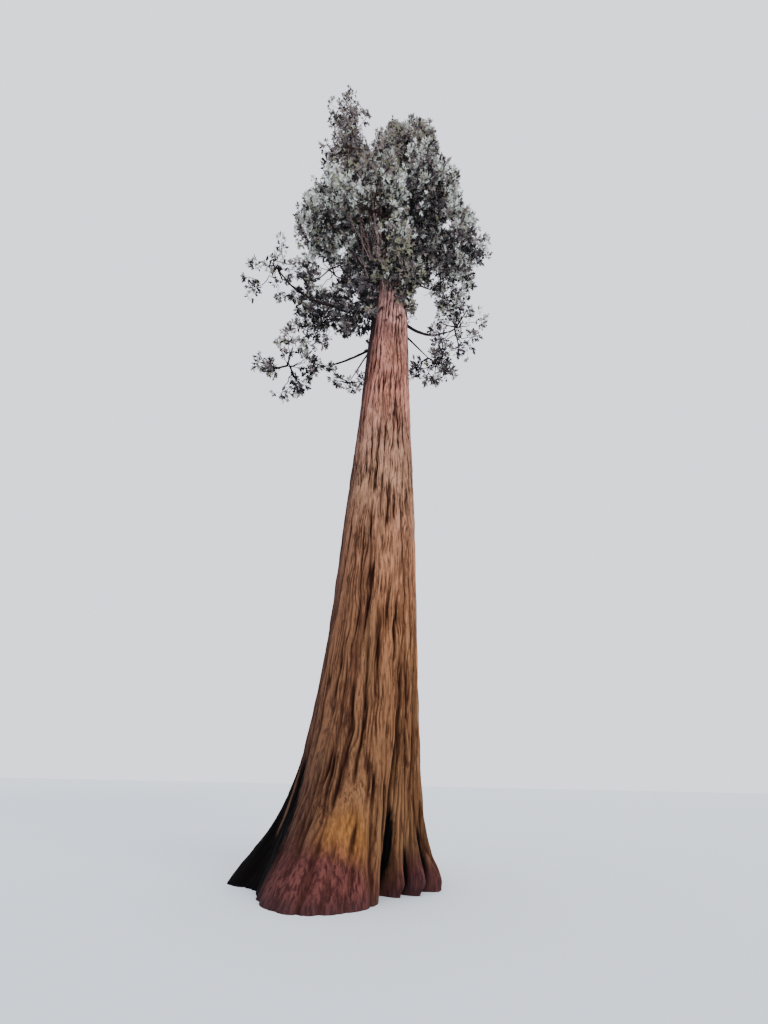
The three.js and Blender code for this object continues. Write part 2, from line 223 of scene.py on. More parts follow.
def mesh_object(
    name: str,
    vertices: Array,
    faces: Faces,
    material: bpy.types.Material,
    values: dict[str, Array] | None = None,
) -> bpy.types.Object:
    """Makes a smooth mesh object at the origin.

    Args:
        name: Name of the object and of its mesh.
        vertices: Places in metres, one a row.
        faces: Corners of each face.
        material: Finish of the whole mesh.
        values: Numbers kept at the vertices, by name.

    Returns:
        The object, linked to the scene.
    """
    mesh = bpy.data.meshes.new(name)
    mesh.from_pydata(vertices.tolist(), [], faces)
    for key, numbers in (values or {}).items():
        layer = mesh.attributes.new(key, "FLOAT", "POINT")
        layer.data.foreach_set("value", np.asarray(numbers, dtype=np.float32))
    mesh.materials.append(material)
    mesh.shade_smooth()
    return link_object(name, mesh)


def new_tree(name: str, inputs: dict[str, str]) -> tuple[Tree, dict[str, str]]:
    """Starts a Geometry Nodes tree that takes and gives a geometry.

    Args:
        name: Name of the tree.
        inputs: Socket type of each further input, by its name.

    Returns:
        The tree, and the identifier of each further input.
    """
    tree = bpy.data.node_groups.new(name, "GeometryNodeTree")
    tree.interface.new_socket("Geometry", in_out="INPUT", socket_type="NodeSocketGeometry")
    tree.interface.new_socket("Geometry", in_out="OUTPUT", socket_type="NodeSocketGeometry")
    made = {
        key: tree.interface.new_socket(key, in_out="INPUT", socket_type=kind).identifier
        for key, kind in inputs.items()
    }
    return tree, made


def point_value(tree: Tree, name: str, kind: str) -> Socket:
    """Adds one of the points' own values, by its name and its data type."""
    node = add_node(tree, "GeometryNodeInputNamedAttribute", {"Name": name}, data_type=kind)
    return node.outputs["Attribute"]


def end_tree(tree: Tree, geometry: Socket, material: Socket) -> None:
    """Ends a Geometry Nodes tree: its instances made real and its surface in a material.

    Args:
        tree: The tree.
        geometry: What it has made.
        material: Its input that takes the material.
    """
    real = add_node(tree, "GeometryNodeRealizeInstances", {"Geometry": geometry})
    dressed = add_node(tree, "GeometryNodeSetMaterial", {
        "Geometry": real.outputs["Geometry"], "Material": material,
    })
    add_node(tree, "NodeGroupOutput", {"Geometry": dressed.outputs["Geometry"]})


def run_tree(piece: bpy.types.Object, tree: Tree, values: dict[str, object]) -> None:
    """Runs a Geometry Nodes tree on a piece and keeps its result as the piece's plain mesh.

    Args:
        piece: Object that carries the points or lines, and has no modifier in the end.
        tree: The tree.
        values: Value of each input, by its identifier.
    """
    modifier = piece.modifiers.new(tree.name, "NODES")
    modifier.node_group = tree
    for key, value in values.items():
        modifier[key] = value
    graph = bpy.context.evaluated_depsgraph_get()
    mesh = bpy.data.meshes.new_from_object(piece.evaluated_get(graph))
    source = piece.data
    piece.modifiers.clear()
    piece.data = mesh
    mesh.name = piece.name
    bpy.data.meshes.remove(source)


def seat(piece: bpy.types.Object, nodes: Iterable[str]) -> None:
    """Fixes a finished piece to the tree, hides the solids that it stands for and logs its triangles.

    Args:
        piece: The finished piece.
        nodes: Solids that the piece replaces.
    """
    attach(piece, BODY)
    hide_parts(*nodes)
    piece.data.calc_loop_triangles()
    LOG.info("%s: %d triangles", piece.name, len(piece.data.loop_triangles))


# Finishes

# Places of the two colours and of their blend among a Mix node's sockets, which share their names
MIX_FIRST, MIX_SECOND, MIX_BLEND = 6, 7, 2


def plain_material(name: str, colour: str, roughness: float, shine: float) -> bpy.types.Material:
    """Makes a material of one plain colour.

    Args:
        name: Name of the material.
        colour: Hex colour.
        roughness: Roughness of its surface, from 0 to 1.
        shine: Strength of its reflections, 0.5 for a plain one.

    Returns:
        The material.
    """
    material = bpy.data.materials.new(name)
    material.use_nodes = True
    shader = material.node_tree.nodes["Principled BSDF"]
    shader.inputs["Base Color"].default_value = linear(colour)
    shader.inputs["Roughness"].default_value = roughness
    shader.inputs["Specular IOR Level"].default_value = shine
    return material


@dataclass(frozen=True)
class BarkFinish:
    """Fibrous bark, dry and matt: soft vertical fibres, ridges paler than the furrows between them.

    The piece's own values say where its furrows take painted shade, how pale each ridge is, where painted
    shade lies on the bole's shaded patches, and where it is burnt, wine-red or worn to orange. The colours
    change with the height. A size is a width and a height in metres, or one width, and a range has the two
    ends of a soft step.
    """

    name: str
    fibre_dark: Stops
    fibre_pale: Stops
    # Colour of the painted shade in the furrows, also used for the darker blotches and the splits between
    # scales
    furrow: str
    # Colour of the painted shade on the shaded patches of the bole
    weathered: str = "#2d2124"
    wine: tuple[str, str] = ("#341a18", "#653a34")
    orange: tuple[str, str] = ("#704926", "#956434")
    ochre: str = "#7d6444"
    char: str = "#080606"
    height: float = 40.0
    fibre_size: Pair = (0.024, 0.34)
    fleck_size: Pair = (0.035, 0.16)
    scale_size: Pair = (0.055, 0.3)
    ochre_size: Pair = (0.13, 1.6)
    blotch_size: float = 1.1
    blotch_detail: float = 3.0
    grain_detail: float = 5.0
    grain_roughness: float = 0.62
    streak_range: Pair = (0.34, 0.66)
    shade_range: Pair = (0.3, 0.75)
    ochre_range: Pair = (0.5, 0.64)
    scale_range: Pair = (0.52, 0.66)
    fleck_range: Pair = (0.36, 0.64)
    tone_share: float = 0.22
    shade_share: float = 0.22
    ochre_share: float = 0.25
    scale_share: float = 0.68
    zone_edge: float = 0.98
    zone_blotches: float = 0.55
    zone_fibres: float = 0.5
    char_softness: float = 0.18
    orange_softness: float = 0.34
    wine_softness: float = 0.4
    roughness: float = 0.95
    shine: float = 0.04
    relief: float = 0.012
    relief_strength: float = 0.7

    def build(self) -> bpy.types.Material:
        """Makes the material.

        Returns:
            A node material on Object coordinates and the piece's own values.
        """
        material = bpy.data.materials.new(self.name)
        material.use_nodes = True
        tree = material.node_tree
        shader = tree.nodes["Principled BSDF"]
        place = add_node(tree, "ShaderNodeTexCoord").outputs["Object"]
        fibres = self._grain(tree, place, self.fibre_size)
        tree.links.new(self._colour(tree, place, fibres), shader.inputs["Base Color"])
        bump = add_node(tree, "ShaderNodeBump", {
            "Strength": self.relief_strength, "Distance": self.relief, "Height": fibres,
        })
        tree.links.new(bump.outputs["Normal"], shader.inputs["Normal"])
        shader.inputs["Roughness"].default_value = self.roughness
        shader.inputs["Specular IOR Level"].default_value = self.shine
        return material

    def _grain(self, tree: Tree, place: Socket, size: Pair) -> Socket:
        """Adds fine grain that runs up the bark, from 0 to 1."""
        width, height = size
        scale = (1 / width, 1 / width, 1 / height)
        along = add_node(tree, "ShaderNodeMapping", {"Vector": place, "Scale": scale})
        return add_node(tree, "ShaderNodeTexNoise", {
            "Vector": along.outputs["Vector"], "Scale": 1.0,
            "Detail": self.grain_detail, "Roughness": self.grain_roughness,
        }).outputs["Fac"]

    def _mix(self, tree: Tree, share: object, first: object, second: object) -> Socket:
        """Adds a blend of two colours by a share from 0 to 1."""
        inputs = {"Factor": share, MIX_FIRST: first, MIX_SECOND: second}
        return add_node(tree, "ShaderNodeMix", inputs, data_type="RGBA").outputs[MIX_BLEND]

    def _ramp(self, tree: Tree, value: Socket, ends: Pair) -> Socket:
        """Adds a smooth step of a value, 0 at the lower end and 1 at the upper."""
        low, high = ends
        inputs = {"Value": value, "From Min": low, "From Max": high}
        step = add_node(tree, "ShaderNodeMapRange", inputs, interpolation_type="SMOOTHSTEP")
        return step.outputs["Result"]

    def _value(self, tree: Tree, name: str) -> Socket:
        """Adds one of the piece's own values."""
        return add_node(tree, "ShaderNodeAttribute", attribute_name=name).outputs["Fac"]

    def _sum(self, tree: Tree, first: Socket, share: float, second: Socket) -> Socket:
        """Adds a share of one value to another."""
        inputs = {0: first, 1: share, 2: second}
        return add_node(tree, "ShaderNodeMath", inputs, operation="MULTIPLY_ADD").outputs["Value"]

    def _zone(self, tree: Tree, name: str, blotch: Socket, fibres: Socket, softness: float) -> Socket:
        """Adds a share from one of the piece's values, its edge ragged with blotches and fibres."""
        ragged = self._sum(tree, blotch, self.zone_blotches, self._value(tree, name))
        ragged = self._sum(tree, fibres, self.zone_fibres, ragged)
        return self._ramp(tree, ragged, (self.zone_edge - softness, self.zone_edge + softness))

    def _by_height(self, tree: Tree, share: Socket, stops: Stops) -> Socket:
        """Adds a colour that changes from the foot to the top of the tree."""
        node = add_node(tree, "ShaderNodeValToRGB", {"Fac": share})
        marks = node.color_ramp.elements
        for place, (height, code) in enumerate(stops):
            mark = marks[place] if place < len(marks) else marks.new(1.0)
            mark.position = height / self.height
            mark.color = linear(code)
        return node.outputs["Color"]

    def _ridges(self, tree: Tree, place: Socket, fibres: Socket, blotch: Socket) -> Socket:
        """Adds the colour of plain bark: streaks by height, shaded in blotches and split into scales."""
        height = add_node(tree, "ShaderNodeSeparateXYZ", {"Vector": place}).outputs["Z"]
        share = add_node(tree, "ShaderNodeMath", {0: height, 1: self.height}, operation="DIVIDE")
        dark, pale = (
            self._by_height(tree, share.outputs["Value"], stops)
            for stops in (self.fibre_dark, self.fibre_pale)
        )
        toned = self._sum(tree, self._value(tree, "tone"), self.tone_share, fibres)
        colour = self._mix(tree, self._ramp(tree, toned, self.streak_range), dark, pale)
        darker = self._mix(tree, self.shade_share, colour, linear(self.furrow))
        colour = self._mix(tree, self._ramp(tree, blotch, self.shade_range), darker, colour)
        for size, ends, amount, code in (
            (self.ochre_size, self.ochre_range, self.ochre_share, self.ochre),
            (self.scale_size, self.scale_range, self.scale_share, self.furrow),
        ):
            patches = self._ramp(tree, self._grain(tree, place, size), ends)
            changed = self._mix(tree, amount, colour, linear(code))
            colour = self._mix(tree, patches, colour, changed)
        return colour

    def _colour(self, tree: Tree, place: Socket, fibres: Socket) -> Socket:
        """Adds the colour, from the ridges through the zones of the foot to the furrows."""
        blotch = add_node(tree, "ShaderNodeTexNoise", {
            "Vector": place, "Scale": 1 / self.blotch_size, "Detail": self.blotch_detail,
        }).outputs["Fac"]
        flecks = self._grain(tree, place, self.fleck_size)
        speckle = self._ramp(tree, flecks, self.fleck_range)
        colour = self._ridges(tree, place, fibres, blotch)
        for name, codes, softness in (
            ("orange", self.orange, self.orange_softness), ("wine", self.wine, self.wine_softness),
        ):
            worn = self._mix(tree, speckle, *(linear(code) for code in codes))
            colour = self._mix(tree, self._zone(tree, name, blotch, fibres, softness), colour, worn)
        # Painted shade: the bole's shaded patches and its furrows darken to these colours
        for name, code in (("weathered", self.weathered), ("furrow", self.furrow)):
            colour = self._mix(tree, self._value(tree, name), colour, linear(code))
        burnt = self._zone(tree, "char", blotch, flecks, self.char_softness)
        return self._mix(tree, burnt, colour, linear(self.char))


@dataclass(frozen=True)
class Favour:
    """Weight of a tint on a spray, a base and a gain times a power of the spray's light.

    A shaded one goes by the lack of light instead. So the tints paint light on lit sprays and shade on dark
    ones.
    """

    base: float
    gain: float
    power: float = 1.0
    shaded: bool = False

    def at(self, bright: Array) -> Array:
        """The weight at each light, from 0 to 1."""
        light = 1 - bright if self.shaded else bright
        return self.base + self.gain * light ** self.power


@dataclass(frozen=True)
class LeafFinish:
    """Scale leaves with a dull waxy skin, one plain colour for the whole spray, and its weight."""

    name: str
    colour: str
    favour: Favour
    roughness: float = 0.62
    shine: float = 0.3

    def build(self) -> bpy.types.Material:
        """Makes the material, plain so that the colour stays with its spray."""
        return plain_material(self.name, self.colour, self.roughness, self.shine)


BOLE_BARK = BarkFinish(
    name="sequoia_bole_bark",
    # The dark stops at 20 m are painted shade on the bole inside the crown
    fibre_dark=(
        (0.0, "#44301e"), (2.2, "#583722"), (3.2, "#6a452e"), (4.6, "#745039"), (6.3, "#70523f"),
        (7.5, "#8a6350"), (9.0, "#955f4d"), (11.0, "#855549"), (14.5, "#9c746d"), (20.0, "#35241f"),
    ),
    fibre_pale=(
        (0.0, "#7d583a"), (2.2, "#936747"), (3.2, "#aa7752"), (4.6, "#b67f60"), (6.3, "#ae8268"),
        (7.5, "#c49279"), (9.0, "#d2937f"), (11.0, "#bd8171"), (14.5, "#d3a49c"), (20.0, "#4f3931"),
    ),
    furrow="#27130d",
)
# Near-black bark of the boughs and twigs: painted shade, darkest low in the crown
SHADED_BOUGH_BARK = BarkFinish(
    name="sequoia_bough_bark",
    fibre_dark=((0.0, "#171213"), (16.0, "#1b1615"), (26.0, "#35261f")),
    fibre_pale=((0.0, "#2f2629"), (16.0, "#3b302f"), (26.0, "#6b534a")),
    furrow="#0d0a0a",
    fibre_size=(0.02, 0.2), blotch_size=0.6, ochre="#2f2a26",
)
STEM_BARK = BarkFinish(
    name="sequoia_stem_bark",
    fibre_dark=((0.0, "#4a3a36"), (40.0, "#4a3a36")),
    fibre_pale=((0.0, "#a88e88"), (40.0, "#a88e88")),
    furrow="#30221f",
    fibre_size=(0.02, 0.2), blotch_size=0.6, ochre="#8a7a68",
)


class Tint(Enum):
    """Plain colours of the sprays, from rime-pale, which also serves as painted highlight, to the
    black-green of painted shade.
    """

    FROST = LeafFinish("spray_frost", "#f0f2ea", Favour(0.04, 4.2, 2.4))
    SAGE = LeafFinish("spray_sage", "#bfc1b6", Favour(0.2, 2.0))
    OLIVE = LeafFinish("spray_olive", "#98947a", Favour(0.5, 0.9))
    BRONZE = LeafFinish("spray_bronze", "#94857f", Favour(0.7, 0.6))
    DEEP = LeafFinish("spray_deep_green", "#5e5557", Favour(1.2, -0.5))
    NIGHT = LeafFinish("spray_black_green", "#131111", Favour(0.15, 3.2, 1.7, shaded=True))


class Look(Enum):
    """How often each tint falls in a mass, in the order of Tint; the DARK and SHADED masses take more
    painted shade.
    """

    SPIRE = (0.01, 0.05, 0.12, 0.31, 0.32, 0.19)
    DOME = (0.02, 0.11, 0.22, 0.34, 0.19, 0.12)
    FROSTED = (0.18, 0.34, 0.09, 0.11, 0.16, 0.16)
    RIMED = (0.30, 0.26, 0.07, 0.12, 0.18, 0.13)
    SHADED = (0.12, 0.18, 0.05, 0.17, 0.28, 0.22)
    OLIVE = (0.03, 0.12, 0.44, 0.14, 0.15, 0.12)
    DARK = (0.03, 0.07, 0.05, 0.11, 0.36, 0.38)


# Shape of the trunk


@dataclass(frozen=True)
class Lobe:
    """A swelling of the foot: compass angle, reach, half width in degrees and height in metres."""

    angle: float
    reach: float
    spread: float
    height: float


@dataclass(frozen=True)
class Patch:
    """A zone of colour on the bole: compass angle, half width in degrees, height and half height."""

    angle: float
    spread: float
    height: float
    tall: float
    strength: float = 1.0

    def share(self, angle: Array, z: Array) -> Array:
        """How far each place lies in the patch, 1 at its middle."""
        turn = turned(angle, self.angle)
        near = ((turn / self.spread) ** 2) + ((z - self.height) / self.tall) ** 2
        return self.strength * np.exp(-near)


@dataclass(frozen=True)
class TrunkShape:
    """The bole's taper, lean and root flare, as the solid trunk has them, in metres."""

    height: float = 40.0
    top: float = 39.1
    bole_radius: float = 0.8
    taper: float = 0.75
    flare_radius: float = 0.24
    flare_height: float = 1.1
    tip_radius: float = 0.022
    lean_across: float = 0.016
    lean_back: float = 0.012
    foot_shift: float = 0.2
    foot_shift_height: float = 1.8
    shoulder: float = 1.4
    lobes: tuple[Lobe, ...] = (
        Lobe(250, 0.43, 34, 0.9),
        Lobe(180, 0.47, 15, 0.62),
        Lobe(308, -0.33, 15, 0.7),
        Lobe(330, -0.12, 9, 0.26),
        Lobe(352, 0.09, 10, 0.32),
        Lobe(40, 0.26, 22, 0.85),
        Lobe(88, 0.33, 24, 0.95),
        Lobe(134, 0.24, 20, 0.8),
    )

    def centre(self, z: Array | float) -> Array:
        """Centre of the trunk at a height, or at each of several heights."""
        z = np.asarray(z, dtype=float)
        shift = self.foot_shift * (1 - np.exp(-z / self.foot_shift_height))
        return np.stack([self.lean_across * z + shift, self.lean_back * z, z], axis=-1)

    def bole(self, z: Array | float) -> Array:
        """Radius of the bole at a height, without the lobes of its foot."""
        share = np.maximum(1 - np.asarray(z, dtype=float) / self.height, 0)
        return self.bole_radius * share ** self.taper + self.flare_radius * np.exp(
            -np.asarray(z, dtype=float) / self.flare_height
        )

    def swelling(self, lobes: Iterable[Lobe], angle: Array, z: Array) -> Array:
        """Reach of some lobes past the bole at each angle and height."""
        reach = np.zeros_like(angle)
        for lobe in lobes:
            around = np.exp(-((turned(angle, lobe.angle) / lobe.spread) ** 2))
            reach += lobe.reach * around * np.exp(-((z / lobe.height) ** self.shoulder))
        return reach

    def radius(self, angle: Array, z: Array) -> Array:
        """Radius of the plain trunk at each angle in degrees and height."""
        return np.maximum(self.bole(z) + self.swelling(self.lobes, angle, z), self.tip_radius)


TRUNK = TrunkShape()


@dataclass(frozen=True)
class BarkRelief:
    """Upright ridges side by side round the bole, parted by two sets of furrows that cross and close.

    One set leans a little to the left and one to the right, and each is open only here and there,
    so the ridges between them fork and meet. An openness has its usual value and its gain, and
    tone_step moves the grain of the tone from ridge to ridge, so that each has its own.
    """

    ridges: int = 30
    leans: tuple[tuple[float, Grain], ...] = (
        (0.3, Grain((0.26, 0.26, 1.3), 41.3)),
        (-0.26, Grain((0.26, 0.26, 1.3), 57.9)),
    )
    depth: float = 0.048
    crest: float = 0.022
    furrow_width: float = 0.115
    width_change: float = 0.6
    wander: float = 0.55
    wander_grain: Grain = Grain((0.8, 0.8, 3.6), 5.3)
    jitter: float = 0.22
    jitter_grain: Grain = Grain((0.16, 0.16, 0.35), 9.7)
    openness: Pair = (0.42, 2.4)
    broken_share: float = 0.55
    broken_level: float = 0.3
    broken_grain: Grain = Grain((0.12, 0.12, 0.32), 70.1)
    crack_ridges: int = 97
    crack_bend: float = 2.0
    crack_bend_grain: Grain = Grain((0.22, 0.22, 0.5), 31.5)
    crack_width: float = 0.2
    crack_depth: float = 0.018
    crack_openness: Pair = (0.6, 2.2)
    crack_open_grain: Grain = Grain((0.22, 0.22, 0.5), 12.1)
    crack_shade: float = 0.75
    fine_depth: float = 0.017
    fine_grain: Grain = Grain((0.08, 0.08, 0.36), 17.2)
    swell_depth: float = 0.035
    swell_grain: Grain = Grain((0.8, 0.8, 3.2), 23.9)
    furrow_shade: float = 1.1
    furrow_shade_change: float = 0.5
    tone_step: float = 3.7
    tone_across: float = 0.5
    tone_grain: Grain = Grain((1.0, 1.0, 1.7), 2.6)

    def _furrows(self, points: Array, angle: Array, bend: Array) -> tuple[Array, Array, Array]:
        """How deep in a furrow and in the valley beside it each place is, and the place in its ridges."""
        furrow, valley = np.zeros(len(points)), np.zeros(len(points))
        least, gain = self.openness
        for lean, grain in self.leans:
            phase = angle / 360 * self.ridges + bend + lean * points[:, 2]
            beside = np.abs(phase - np.round(phase))
            closing = grain.at(points)
            opened = np.clip(least + gain * closing, 0, 1)
            width = self.furrow_width * (1 + self.width_change * closing)
            furrow = np.maximum(furrow, np.exp(-((beside / width) ** 2)) * opened)
            valley = np.maximum(valley, (1 - 2 * beside) ** 2 * opened)
        broken = np.clip(self.broken_grain.at(points) + self.broken_level, 0, 1)
        return furrow * (1 - self.broken_share * broken), valley, phase

    def _cracks(self, points: Array, angle: Array, bend: Array) -> Array:
        """How deep in one of the fine cracks each place is, from 0 to 1."""
        bend = self.crack_bend * bend
        phase = angle / 360 * self.crack_ridges + bend + self.crack_bend_grain.at(points)
        crack = np.exp(-((np.abs(phase - np.round(phase)) / self.crack_width) ** 2))
        least, gain = self.crack_openness
        return crack * np.clip(self.crack_open_grain.at(points) * gain + least, 0, 1)

    def at(self, points: Array, angle: Array) -> tuple[Array, Array, Array]:
        """Reads the relief.

        Args:
            points: Places on the plain surface about the trunk's own axis.
            angle: Compass angle of each place in degrees.

        Returns:
            The change in radius in metres, how much painted shade each place takes in its furrow or crack,
            from 0 to 1, and how much paler its ridge is than the rest, about -1 to 1.
        """
        bend = self.wander * self.wander_grain.at(points)
        bend = bend + self.jitter * self.jitter_grain.at(points)
        furrow, valley, phase = self._furrows(points, angle, bend)
        crack = self._cracks(points, angle, bend)
        fine = self.fine_grain.at(points)
        swell = self.swell_grain.at(points)
        change = self.swell_depth * swell + self.fine_depth * fine - self.depth * furrow
        change = change - self.crest * valley - self.crack_depth * crack
        # Painted shade in the furrows and cracks
        dark = furrow * (self.furrow_shade - self.furrow_shade_change * fine) + self.crack_shade * crack
        across = np.full_like(phase, self.tone_across)
        ridge = np.stack([np.floor(phase) * self.tone_step, across, points[:, 2]], axis=1)
        return change, np.clip(dark, 0, 1), self.tone_grain.at(ridge)


@dataclass(frozen=True)
class Section:
    """A length of the bole: heights of its foot and top in metres, corners in a ring, and rings."""

    name: str
    low: float
    high: float
    columns: int
    rings: int


@dataclass
class Trunk:
    """The fluted bole in sections stacked one on the other, with its burnt and worn foot.

    The relief is weaker in the wine-red zone, by foot_plainness. Each of the zones is a value of
    the piece that its bark finish reads.
    """

    shape: TrunkShape = TRUNK
    relief: BarkRelief = BarkRelief()
    sections: tuple[Section, ...] = (
        Section("bole_lower", 0.0, 5.4, 480, 196),
        Section("bole_middle", 5.4, 17.0, 480, 196),
        Section("bole_upper", 17.0, 39.1, 240, 150),
    )
    crowding: float = 1.2
    foot_plainness: float = 0.45
    toes: tuple[Lobe, ...] = (
        Lobe(314, 0.24, 5.5, 0.36),
        Lobe(329, 0.27, 5.5, 0.28),
        Lobe(347, 0.17, 7.5, 0.36),
    )
    clefts: tuple[Lobe, ...] = (
        Lobe(303, -0.12, 3.5, 0.5),
        Lobe(321.5, -0.2, 2.6, 0.3),
        Lobe(338, -0.3, 3.2, 0.42),
    )
    toe_tuck: float = 0.45
    tuck_height: float = 0.08
    char: tuple[Patch, ...] = (
        Patch(182, 22, 0.0, 1.5),
        Patch(212, 16, 0.5, 0.85),
        Patch(201, 5, 0.75, 0.35, -0.9),
        # The last three patches lie on the clefts between the toes and blacken them as painted shade
        Patch(304, 7, 0.45, 0.5, 0.8), Patch(321.5, 2.6, 0.1, 0.32, 1.1),
        Patch(338, 3.8, 0.2, 0.42, 1.2),
    )
    wine: tuple[Patch, ...] = (
        Patch(240, 34, 0.0, 0.5, 1.15), Patch(264, 22, 0.0, 0.34, 1.1), Patch(330, 24, 0.0, 0.3, 1.2),
    )
    orange: tuple[Patch, ...] = (Patch(266, 15, 0.46, 0.34, 1.1),)
    # Painted shade: the shaded left flank of the bole, and the shade at its foot where it meets the ground
    weathered: tuple[Patch, ...] = (
        Patch(204, 28, 13.9, 3.8, 1.5), Patch(192, 26, 7.0, 6.0, 0.8), Patch(230, 50, 2.5, 3.0, 0.35),
        Patch(250, 90, 0.0, 0.1, 0.5), Patch(330, 26, 0.0, 0.4, 0.55), Patch(222, 24, 0.7, 0.6, 0.45),
        Patch(352, 12, 12.5, 6.0, 0.5),
    )
    knots: tuple[Patch, ...] = (
        Patch(236, 6, 13.3, 0.09, 1.9), Patch(246, 5, 13.4, 0.07, 1.9), Patch(298, 5, 12.8, 0.1, 1.7),
        Patch(307, 5, 13.05, 0.07, 1.7), Patch(345, 7, 13.6, 0.12, 1.6), Patch(262, 4, 12.5, 0.08, 1.3),
    )
    knot_rise: float = 0.03
    zones: tuple[str, ...] = ("char", "wine", "orange", "weathered")

    def _section(self, section: Section, finish: bpy.types.Material) -> bpy.types.Object:
        """Builds one section of the bole.

        Args:
            section: Which one. Its rings are closer together towards its foot.
            finish: Bark material.

        Returns:
            The closed section.
        """
        low, high, columns = section.low, section.high, section.columns
        share = np.linspace(0, 1, section.rings)
        heights = low + (high - low) * share ** self.crowding
        angles = np.arange(columns) * 360 / columns
        z, angle = (grid.ravel() for grid in np.meshgrid(heights, angles, indexing="ij"))
        tuck = 1 - self.toe_tuck * np.exp(-((z / self.tuck_height) ** 2))
        radius = self.shape.radius(angle, z) + self.shape.swelling(self.clefts, angle, z)
        radius += tuck * self.shape.swelling(self.toes, angle, z)
        turn = np.radians(angle)
        around = np.stack([np.cos(turn), np.sin(turn), np.zeros_like(turn)], axis=1)
        plain = around * radius[:, None]
        plain[:, 2] = z
        change, furrow, tone = self.relief.at(plain, angle)
        values = {key: self._zone(getattr(self, key), angle, z) for key in self.zones}
        values["tone"] = tone
        knot = self._zone(self.knots, angle, z)
        smooth = 1 - self.foot_plainness * np.minimum(values["wine"], 1)
        slim = np.minimum(self.shape.bole(z) / self.shape.bole_radius, 1)
        radius = np.maximum(radius + change * smooth * slim + self.knot_rise * knot, self.shape.tip_radius)
        # Painted shade in the furrows and cracks; the knots are darkened too, partly as their own dark
        # scars and partly as painted shadow
        values["furrow"] = np.clip(furrow * smooth + knot, 0, 1)
        vertices = self.shape.centre(z) + around * radius[:, None]
        ends = self.shape.centre(np.array([low, high]))
        values = {key: np.append(each, [0.0, 0.0]) for key, each in values.items()}
        faces = tube_faces(section.rings, columns)
        piece = mesh_object(section.name, np.vstack([vertices, ends]), faces, finish, values)
        self._sharpen_ends(piece.data, section)
        return piece

    def _zone(self, patches: Iterable[Patch], angle: Array, z: Array) -> Array:
        """How far each place lies in any of some patches."""
        return sum(patch.share(angle, z) for patch in patches)

    def _sharpen_ends(self, mesh: bpy.types.Mesh, section: Section) -> None:
        """Keeps the flat ends from rounding off the shading of the first and last ring."""
        pairs = np.empty(len(mesh.edges) * 2, dtype=np.int32)
        mesh.edges.foreach_get("vertices", pairs)
        row = pairs.reshape(-1, 2) // section.columns
        same = row[:, 0] == row[:, 1]
        sharp = same & ((row[:, 0] == 0) | (row[:, 0] == section.rings - 1))
        mesh.attributes.new("sharp_edge", "BOOLEAN", "EDGE").data.foreach_set("value", sharp)

    def build(self) -> None:
        """Makes every section and seats it in place of the solid trunk."""
        finish = BOLE_BARK.build()
        for section in self.sections:
            seat(self._section(section, finish), ["trunk"])


# Layout of the crown


class Habit(Enum):
    """How crowded a mass is, in clumps of sprays for each cubic metre."""

    DENSE = 8.6
    CROWDED = 13.0
    OPEN = 7.0
    SPARSE = 4.0
    THIN = 1.4


@dataclass(frozen=True)
class Row:
    """One mass of a tier: its compass angle, reach from the trunk, change to the rise and scale.

    It is bare below low, a share of its half height, and cored where the solid one has a core.
    """

    angle: float
    reach: float
    lift: float
    scale: float
    habit: Habit
    look: Look
    low: float = -2.0
    cored: bool = False


@dataclass(frozen=True)
class Tier:
    """Boughs and masses of one height, all in metres.

    root is where the boughs leave the trunk, rise the way up to a mass's heart, across and tall a
    mass's radius and half height, girth a bough's radius at its root and sag how far it droops.
    """

    root: float
    rise: float
    across: float
    tall: float
    girth: float
    sag: float
    rows: dict[str, Row]


